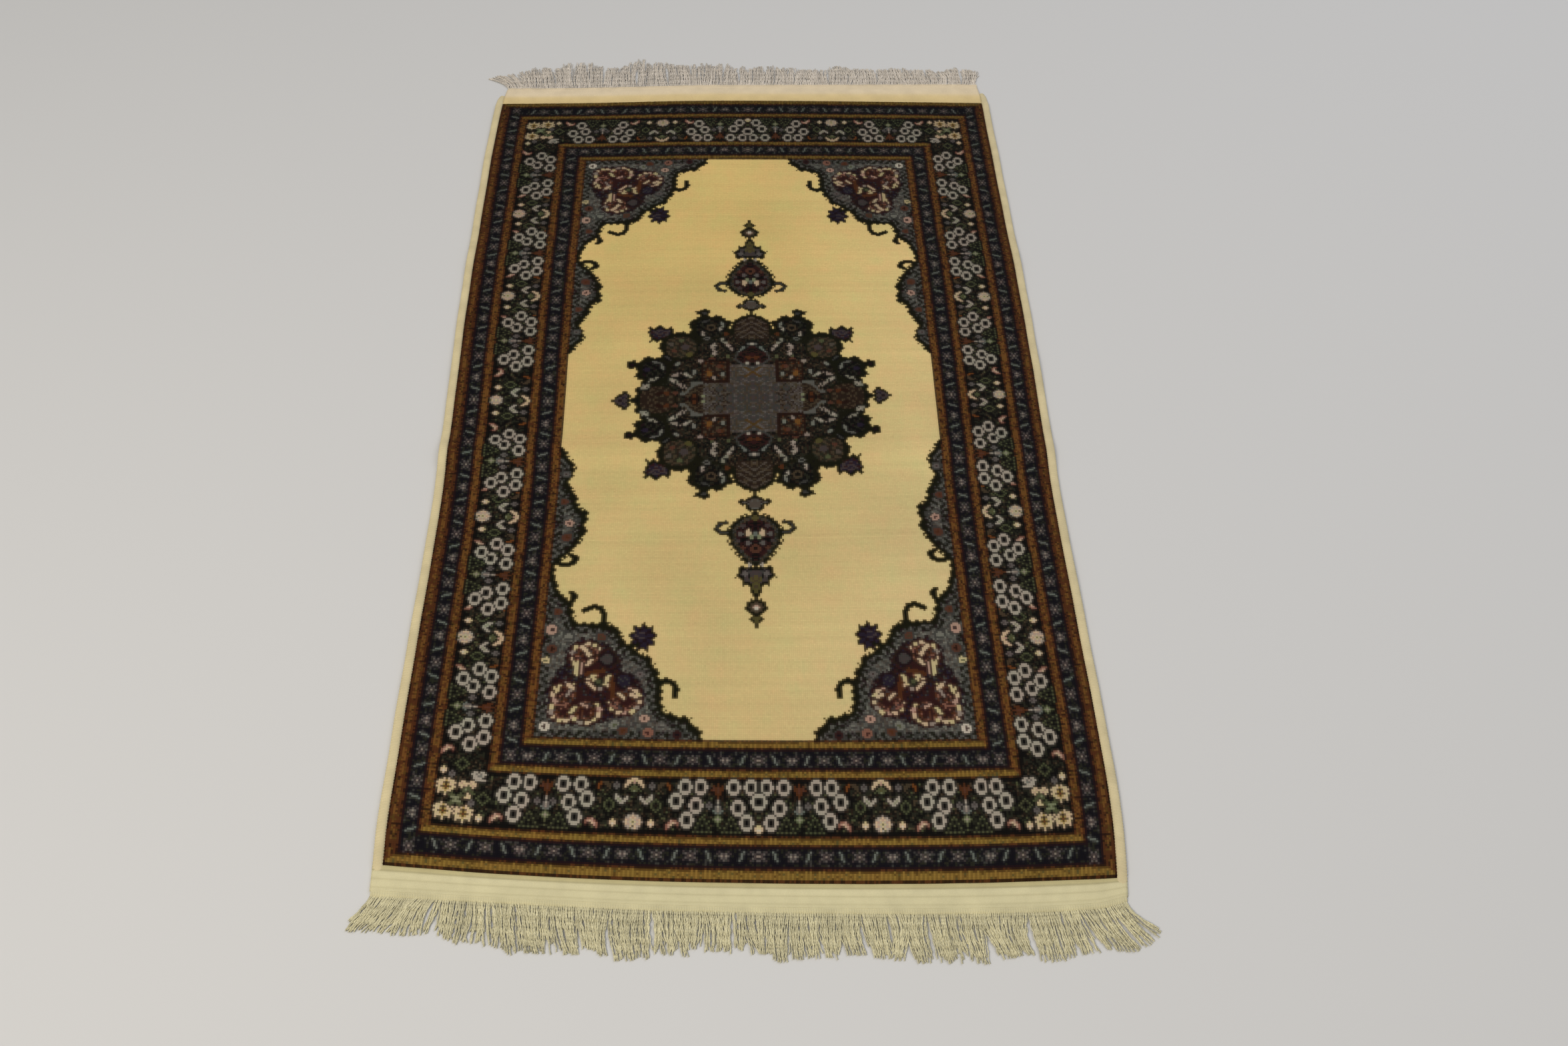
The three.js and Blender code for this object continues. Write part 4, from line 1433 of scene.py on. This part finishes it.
def wrap_tree():
    """A cord swept along its guide, ridged by slanting turns of overcast yarn.

    The guide's tone is how high the cord stands: below 1 it is pressed flat on the floor.
    """
    tree, identifiers, given = new_tree(
        "overcast_wraps", Pitch=0.0025, Width=0.008, Height=0.0042, Groove=0.0006, Slant=0.6, Seed=0.0
    )
    curves = add(tree, "GeometryNodeMeshToCurve", {"Mesh": given["Geometry"]})
    step = add(tree, "ShaderNodeMath", {0: given["Pitch"], 1: 4.0}, operation="DIVIDE")
    even = add(tree, "GeometryNodeResampleCurve", {"Curve": curves, "Length": step}, mode="LENGTH")
    upright = add(tree, "GeometryNodeSetCurveNormal", {"Curve": even}, mode="Z_UP")
    width = add(tree, "GeometryNodeInputNamedAttribute", {"Name": "width"}, data_type="FLOAT")
    sized = add(tree, "GeometryNodeSetCurveRadius", {"Curve": upright, "Radius": width.outputs["Attribute"]})
    run = add(tree, "GeometryNodeSplineParameter").outputs["Length"]
    wraps = add(tree, "ShaderNodeMath", {0: run, 1: given["Pitch"]}, operation="DIVIDE")
    store = {"Geometry": sized, "Name": "run", "Value": wraps}
    counted = add(tree, "GeometryNodeStoreNamedAttribute", store, domain="POINT", data_type="FLOAT")
    profile = add(tree, "GeometryNodeCurvePrimitiveCircle", {"Resolution": 12, "Radius": 0.5}, mode="RADIUS")
    size = add(tree, "ShaderNodeCombineXYZ", {"X": given["Width"], "Y": given["Height"], "Z": 1.0})
    oval = add(tree, "GeometryNodeTransform", {"Geometry": profile, "Scale": size})
    sweep = {"Curve": counted, "Profile Curve": oval, "Fill Caps": True}
    swept = add(tree, "GeometryNodeCurveToMesh", sweep)

    # Each turn leans by the slant from the cord's left to its right, and is sunk at its borders
    run = add(tree, "GeometryNodeInputNamedAttribute", {"Name": "run"}, data_type="FLOAT")
    normal = add(tree, "GeometryNodeInputNormal").outputs["Normal"]
    split = add(tree, "ShaderNodeSeparateXYZ", {"Vector": normal})
    lean = add(tree, "ShaderNodeMath", {0: split, 1: given["Slant"]}, operation="MULTIPLY")
    slanted = add(tree, "ShaderNodeMath", {0: run.outputs["Attribute"], 1: lean}, operation="ADD")
    phase = add(tree, "ShaderNodeMath", {0: slanted, 1: math.pi}, operation="MULTIPLY")
    wave = add(tree, "ShaderNodeMath", {0: phase}, operation="SINE")
    ridge = add(tree, "ShaderNodeMath", {0: wave}, operation="ABSOLUTE")
    crown = add(tree, "ShaderNodeMath", {0: ridge, 1: 0.95}, operation="MULTIPLY")
    turn = add(tree, "ShaderNodeMath", {0: slanted}, operation="FLOOR")
    seeded = add(tree, "ShaderNodeMath", {0: turn, 1: given["Seed"]}, operation="ADD")
    uneven = add(tree, "ShaderNodeTexWhiteNoise", {"W": seeded}, noise_dimensions="1D")
    wear = add(tree, "ShaderNodeMath", {0: uneven, 1: 0.6, 2: 0.7}, operation="MULTIPLY_ADD")
    hollow = add(tree, "ShaderNodeMath", {0: 1.0, 1: crown}, operation="SUBTRACT")
    worn = add(tree, "ShaderNodeMath", {0: hollow, 1: wear}, operation="MULTIPLY")
    deep = add(tree, "ShaderNodeMath", {0: worn, 1: given["Groove"]}, operation="MULTIPLY")
    inward = add(tree, "ShaderNodeMath", {0: deep, 1: -1.0}, operation="MULTIPLY")
    offset = add(tree, "ShaderNodeVectorMath", {0: normal, "Scale": inward}, operation="SCALE")
    grooved = add(tree, "GeometryNodeSetPosition", {"Geometry": swept, "Offset": offset})
    place = add(tree, "GeometryNodeInputPosition")
    stands = add(tree, "GeometryNodeInputNamedAttribute", {"Name": "tone"}, data_type="FLOAT")
    flat = add(tree, "ShaderNodeCombineXYZ", {"X": 1.0, "Y": 1.0, "Z": stands.outputs["Attribute"]})
    low = add(tree, "ShaderNodeVectorMath", {0: place, 1: flat}, operation="MULTIPLY")
    finish_tree(tree, add(tree, "GeometryNodeSetPosition", {"Geometry": grooved, "Position": low}), given)
    return tree, identifiers


def fringe_lines(direction, fringe, sizes):
    """Guide lines of one fringe: crimped strands in loose locks, lying on the floor and each other."""
    rng = np.random.default_rng(sizes.seed + 10 + direction)
    left, right = heading_ends(direction, sizes)
    number = sizes.strands
    starts = np.linspace(left + 0.7, right - 0.7, number) + 0.3 * rng.standard_normal(number)
    lock = np.cumsum(rng.random(number) < 1 / sizes.lock)
    locks = lock.max() + 1
    # Each lock draws its strands together, leans and bows in its own way, and has its own length
    middle = np.bincount(lock, starts, locks) / np.maximum(np.bincount(lock, minlength=locks), 1)
    pull = rng.uniform(0.05, 0.35, locks)
    lock_lean = 0.045 * rng.standard_normal(locks)
    lock_length = 1 + 0.05 * rng.standard_normal(locks)
    lock_bow = 1.1 * rng.standard_normal(locks)
    # The tips make an uneven line, in waves of a few centimetres
    waves = smooth(smooth(rng.standard_normal(number), 45, 0), 31, 0)
    waves = 1 + 0.05 * waves / waves.std()
    t = np.linspace(0, 1, sizes.strand_points)
    ease = t * t * (3 - 2 * t)
    lying = np.minimum(4 * t, 1)
    lines = []
    for i, x in enumerate(starts):
        own = lock[i]
        root = band_end(direction, x, sizes) + direction * sizes.heading * 0.7
        trimmed = 1 - 0.35 * rng.random() ** 2
        length = along(fringe, "length", x) * lock_length[own] * waves[i] * trimmed
        length = max(length, 3) + sizes.heading * 0.3
        lean = along(fringe, "lean", x) + (lock_lean[own] + 0.035 * rng.standard_normal()) * length
        # A few strands stray out of their lock
        if rng.random() < STRAYS:
            lean += rng.uniform(-9, 9)
        turns = length / rng.uniform(6, 10)
        crimp = rng.uniform(0.1, 0.5) * np.sin(2 * np.pi * (turns * t + rng.random())) * lying
        bow = (lock_bow[own] + 0.8 * rng.standard_normal()) * np.sin(np.pi * t)
        gather = (middle[own] - x) * pull[own] * ease
        layer = i % len(LAYER_WIDTHS)
        heap = layer * 0.5 * np.sin(np.pi * np.clip(0.15 + 0.8 * t, 0, 1)) ** 0.6
        bounce = 0.15 * (1 + np.sin(2 * np.pi * (0.7 * turns * t + rng.random())))
        width = np.interp(t, *STRAND_TAPER) * rng.uniform(0.85, 1.1) * LAYER_WIDTHS[layer]
        across = x + lean * (0.45 * t + 0.55 * t * t) + crimp + bow + gather
        height = sizes.strand_width / 2 * width + heap + bounce * lying
        places = np.stack([across, root + direction * length * t, height], -1)
        # Lower layers are darker: painted shade under the strands lying on them
        lines.append((places, width, rng.uniform(0.88, 1.1) * (0.9 + 0.07 * layer)))
    return lines


def make_fringes(sizes, dyes):
    """Both fringes: twisted strands of warp grown on guide lines, from a narrow heading."""
    tree, identifiers = strand_tree()
    for name, direction, fringe, colour, heading in (
        ("near", -1, NEAR_FRINGE, dyes.near_fringe_yarn, dyes.near_band_yarn),
        ("far", 1, FAR_FRINGE, dyes.far_fringe_yarn, dyes.far_band_yarn),
    ):
        mesh = grown(
            "fringe_threads_" + name,
            guide_mesh("fringe_" + name, fringe_lines(direction, fringe, sizes)),
            tree,
            identifiers,
            Thickness=sizes.strand_width * MM,
            Twist=2 * math.pi / (sizes.twist_pitch * MM),
            Flatness=STRAND_FLATNESS,
            Material=yarn("twisted_warp_" + name, colour, pitch=0.35, mottle=0.14, attribute="tone"),
        )
        new_piece(mesh.name, mesh, "fringe_" + name, "fringe_yarn")
        plain = yarn("heading_yarn_" + name, heading, pitch=0.4, mottle=0.12)
        make_heading(name, direction, sizes, plain)


def make_heading(name, direction, sizes, thread):
    """The ribbed heading that holds the strands: it slopes from the band down to them."""
    part = np.linspace(0, 1, sizes.ribs * RIDGE_POINTS + 1)
    x = lerp(*heading_ends(direction, sizes), part)
    base = band_end(direction, x, sizes)
    rib = np.abs(np.sin(np.pi * sizes.ribs * part))
    uneven = 1 + 0.12 * np.sin(part * 97 + 4 * np.sin(part * 31))
    rows = []
    for out, up, relief in HEADING_SECTION:
        swell = np.where(relief > 0, uneven * (1 - relief * (0.5 - rib)), 1)
        y = base + direction * sizes.heading * out * (1 - 0.2 * relief * (1 - rib))
        rows.append(np.stack([x, y, sizes.heading_top * up * swell], -1))
    count = len(x)
    starts = [r * count for r in range(len(rows))]
    faces = [
        (r + c, r + c + 1, s + c + 1, s + c)
        for r, s in zip(starts, starts[1:] + starts[:1])
        for c in range(count - 1)
    ]
    faces += [tuple(starts), tuple(r + count - 1 for r in reversed(starts))]
    mesh = mesh_of("heading_" + name, np.concatenate(rows), [], [face[::direction] for face in faces])
    mesh.polygons.foreach_set("use_smooth", np.ones(len(faces), bool))
    new_piece(mesh.name, mesh, "fringe_" + name, "fringe_yarn", thread)


def make_cords(sizes, dyes):
    """The side cords: overcast yarn wound over the edge warps."""
    tree, identifiers = wrap_tree()
    cream = yarn("overcast_cream_silk", dyes.cord_yarn, pitch=0.5, mottle=0.12)
    for name, side in (("left", -1), ("right", 1)):
        near = band_end(-1, side * CORNER, sizes)
        far = lerp(pile_end(1, side * CORNER), band_end(1, side * CORNER, sizes), CORD_END)
        # The points are closer at the far tip, where the cord narrows and turns in
        y = np.concatenate([np.linspace(near, far - 8, 390), np.linspace(far - 7.5, far - 0.6, 14)])
        tip = np.clip((y - far + CORD_TIP) / CORD_TIP, 0, 1)
        edge = edge_x(side, y)
        wander = 0.35 * np.sin(y / 19 + side) * np.sin(y / 47)
        x = edge + side * (sizes.cord_width / 2 - PRESS - 2.6 * tip**1.5) + wander
        width = 1 - 0.5 * tip**2 + 0.03 * np.sin(y / 11 + 2 * side) * np.sin(y / 29)
        z = lift(edge, y) + sizes.cord_height / 2 * width + 0.02
        # Beside the flatwoven ends it lies as low as they do
        ends = np.maximum(pile_end(-1, edge) + 4 - y, y - pile_end(1, edge) + 2)
        stands = 1 - 0.6 * np.clip(ends / 9, 0, 1)
        mesh = grown(
            "side_cord_wraps_" + name,
            guide_mesh("cord_" + name, [(np.stack([x, y, z], -1), width, stands)]),
            tree,
            identifiers,
            Pitch=sizes.wrap_pitch * MM,
            Width=sizes.cord_width * MM,
            Height=sizes.cord_height * MM,
            Groove=sizes.wrap_groove * MM,
            Slant=0.5 * side,
            Seed=float(sizes.seed),
            Material=cream,
        )
        new_piece(mesh.name, mesh, "side_cord_" + name, "cream_yarn")


# The camera, found from the floor's joints: place in the tables' millimetres, and its turns
CAMERA_PLACE = (-9.5, -954.5, 991.1)
CAMERA_PITCH = 50.54
CAMERA_YAW = 2.857
CAMERA_ROLL = 2.261
CAMERA_LENS = 34.65
CAMERA_SENSOR = 36
# Half the floor's side in metres
FLOOR = 4.0
# Soft lights: name, place and size in metres, power in watts, and colour
LIGHTS = (
    ("soft_key", (-1.3, -1.5, 2.2), 1.4, 44, "#fff6ea"),
    ("soft_fill", (1.6, 1.0, 2.4), 2.0, 26, "#f2f4ff"),
)


def make_camera():
    """A camera where the photographer stood."""
    data = bpy.data.cameras.new("camera")
    data.lens = CAMERA_LENS
    data.sensor_width = CAMERA_SENSOR
    camera = bpy.data.objects.new("camera", data)
    bpy.context.scene.collection.objects.link(camera)
    pitch, yaw, roll = (math.radians(a) for a in (CAMERA_PITCH, CAMERA_YAW, CAMERA_ROLL))
    forward = np.array([math.sin(yaw) * math.cos(pitch), math.cos(yaw) * math.cos(pitch), -math.sin(pitch)])
    level = np.array([math.cos(yaw), -math.sin(yaw), 0])
    above = np.cross(level, forward)
    right = math.cos(roll) * level + math.sin(roll) * above
    up = -math.sin(roll) * level + math.cos(roll) * above
    place = (np.array(CAMERA_PLACE) + (*frame_shift(), 0)) * MM
    matrix = np.eye(4)
    matrix[:3] = np.stack([right, up, -forward, place], axis=1)
    camera.matrix_world = Matrix(matrix.tolist())
    bpy.context.scene.camera = camera


def make_light(name, place, size, power, colour):
    """A soft square light that faces the rug."""
    data = bpy.data.lights.new(name, "AREA")
    data.shape = "SQUARE"
    data.size = size
    data.energy = power
    data.color = linear(colour)
    light = bpy.data.objects.new(name, data)
    bpy.context.scene.collection.objects.link(light)
    light.location = place
    direction = np.array(place) / np.linalg.norm(place)
    light.rotation_euler = (0, math.acos(direction[2]), math.atan2(direction[1], direction[0]))


def make_stage():
    """A pale matt floor, soft lights and the camera."""
    make_camera()
    mesh = bpy.data.meshes.new("floor")
    corners = [(-FLOOR, -FLOOR, 0), (FLOOR, -FLOOR, 0), (FLOOR, FLOOR, 0), (-FLOOR, FLOOR, 0)]
    mesh.from_pydata(corners, [], [(0, 1, 2, 3)])
    floor = bpy.data.objects.new("floor", mesh)
    bpy.context.scene.collection.objects.link(floor)
    material, tree = new_material("pale_matt_floor")
    look = {"Base Color": (*linear("#cfcfcd"), 1.0), "Roughness": 0.8, "Specular IOR Level": 0.2}
    add(tree, "ShaderNodeOutputMaterial", {"Surface": add(tree, "ShaderNodeBsdfPrincipled", look)})
    mesh.materials.append(material)
    for light in LIGHTS:
        make_light(*light)
    world = bpy.data.worlds.new("soft_room")
    world.use_nodes = True
    background = world.node_tree.nodes["Background"].inputs
    background["Color"].default_value = (*linear("#f2f2f2"), 1.0)
    background["Strength"].default_value = 0.45
    bpy.context.scene.world = world
    bpy.context.scene.view_settings.view_transform = "Standard"


def length(label, description, millimetres):
    """A property that holds a length. Blender keeps it in metres."""
    return bpy.props.FloatProperty(
        name=label, description=description, default=millimetres * MM, min=0.0, precision=4, unit="LENGTH"
    )


def count(label, description, value):
    return bpy.props.IntProperty(name=label, description=description, default=value, min=1)


def dye(label, description, code):
    """A property that holds a colour."""
    return bpy.props.FloatVectorProperty(
        name=label, description=description, default=linear(code), subtype="COLOR", size=3, min=0.0, max=1.0
    )


class RugSizes(bpy.types.PropertyGroup):
    """Sizes of the rug's pieces and its counts."""

    knots_across: count("Knots across", "Knots in one row of the pile", 328)
    knots_along: count("Knots along", "Rows of knots from end to end", 570)
    pile_top: length("Pile thickness", "Height of the pile above its underside", 3.8)
    shoulder: length("Pile shoulder", "How far the pile rounds down at its edges", 1.5)
    shoulder_reach: length("Shoulder reach", "How far in from the edge the rounding goes", 2.6)
    band_top: length("Band thickness", "Thickness of the flatwoven ends", 1.9)
    near_band: length("Near band", "Depth of the flatwoven near end", 19)
    far_band: length("Far band", "Depth of the flatwoven far end", 28)
    far_inset: length("Far inset", "How much the far band draws in at its corners", 1.0)
    far_crown: length("Far crown", "How much the far end swells in its middle", 1.3)
    weft_pitch: length("Weft pitch", "Spacing of the weft ridges", 1.1)
    cord_width: length("Cord width", "Width of the side cords", 8)
    cord_height: length("Cord height", "Height of the side cords", 4.2)
    wrap_pitch: length("Wrap pitch", "Spacing of the overcast turns", 2.4)
    wrap_groove: length("Wrap groove", "Depth of the grooves between the turns", 0.6)
    strands: count("Strands", "Twisted strands in each fringe", 1150)
    strand_points: count("Strand points", "Points along one strand", 14)
    lock: count("Lock", "Strands that lie together in a lock, on average", 12)
    strand_width: length("Strand width", "Width of a fringe strand", 1.2)
    twist_pitch: length("Twist pitch", "Length of one turn of a strand", 15)
    heading: length("Heading depth", "Depth of the heading that holds a fringe", 4.5)
    heading_top: length("Heading height", "Height of that heading", 1.85)
    ribs: count("Heading ribs", "Ribs along one heading", 300)
    seed: count("Seed", "Number that fixes every random choice", 7)


class RugDyes(bpy.types.PropertyGroup):
    """Colours of the dyed silk, and of the undyed yarn."""

    __annotations__ = {
        name: dye(name.replace("_", " ").capitalize(), "Dye of the pile's knots", code)
        for name, code in DYES.items()
    }
    __annotations__["near_band_yarn"] = dye("Near band yarn", "Cream of the near flatwoven end", "#cac29a")
    __annotations__["far_band_yarn"] = dye("Far band yarn", "Cream of the far flatwoven end", "#dccbab")
    __annotations__["cord_yarn"] = dye("Cord yarn", "Cream of the side cords", "#cdbf96")
    __annotations__["near_fringe_yarn"] = dye("Near fringe yarn", "Warp of the near fringe", "#d2cba6")
    __annotations__["far_fringe_yarn"] = dye("Far fringe yarn", "Warp of the far fringe", "#d9d0c2")


def make(maker, scene):
    """Makes a group of pieces from the scene's sizes, in millimetres, and its dyes."""
    sizes = {}
    for name in RugSizes.__annotations__:
        value = getattr(scene.rug_sizes, name)
        # A tenth of a micrometre is as fine as these sizes go
        sizes[name] = value if isinstance(value, int) else round(value / MM, 4)
    maker(SimpleNamespace(**sizes), scene.rug_dyes)
    return {"FINISHED"}


class RUG_OT_stage(bpy.types.Operator):
    """Set out the pale floor, the soft lights and the camera"""

    bl_idname = "rug.stage"
    bl_label = "Stage"

    def execute(self, context):
        make_stage()
        return {"FINISHED"}


class RUG_OT_pile(bpy.types.Operator):
    """Knot the silk pile from its chart"""

    bl_idname = "rug.pile"
    bl_label = "Knotted Pile"

    def execute(self, context):
        return make(make_pile, context.scene)


class RUG_OT_bands(bpy.types.Operator):
    """Weave the flat bands at both ends of the pile"""

    bl_idname = "rug.bands"
    bl_label = "Flatwoven Ends"

    def execute(self, context):
        return make(make_bands, context.scene)


class RUG_OT_cords(bpy.types.Operator):
    """Overcast the cords along both long sides"""

    bl_idname = "rug.cords"
    bl_label = "Side Cords"

    def execute(self, context):
        return make(make_cords, context.scene)


class RUG_OT_fringes(bpy.types.Operator):
    """Lay out the twisted strands of both fringes"""

    bl_idname = "rug.fringes"
    bl_label = "Fringes"

    def execute(self, context):
        return make(make_fringes, context.scene)


OPERATORS = (RUG_OT_stage, RUG_OT_pile, RUG_OT_bands, RUG_OT_cords, RUG_OT_fringes)


class RUG_PT_sidebar(bpy.types.Panel):
    """Lists the steps that make the rug"""

    bl_label = "Silk Rug"
    bl_space_type = "VIEW_3D"
    bl_region_type = "UI"
    bl_category = "Silk Rug"

    def draw(self, context):
        for operator in OPERATORS:
            self.layout.operator(operator.bl_idname)
        for group in (context.scene.rug_sizes, context.scene.rug_dyes):
            for name in group.__annotations__:
                self.layout.prop(group, name)


CLASSES = (RugSizes, RugDyes, *OPERATORS, RUG_PT_sidebar)


def register():
    for cls in CLASSES:
        bpy.utils.register_class(cls)
    bpy.types.Scene.rug_sizes = bpy.props.PointerProperty(type=RugSizes)
    bpy.types.Scene.rug_dyes = bpy.props.PointerProperty(type=RugDyes)


def unregister():
    del bpy.types.Scene.rug_dyes
    del bpy.types.Scene.rug_sizes
    for cls in reversed(CLASSES):
        bpy.utils.unregister_class(cls)


def main():
    register()
    bpy.ops.rug.stage()
    bpy.ops.rug.pile()
    bpy.ops.rug.bands()
    bpy.ops.rug.cords()
    bpy.ops.rug.fringes()
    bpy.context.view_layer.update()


if __name__ == "__main__":
    main()
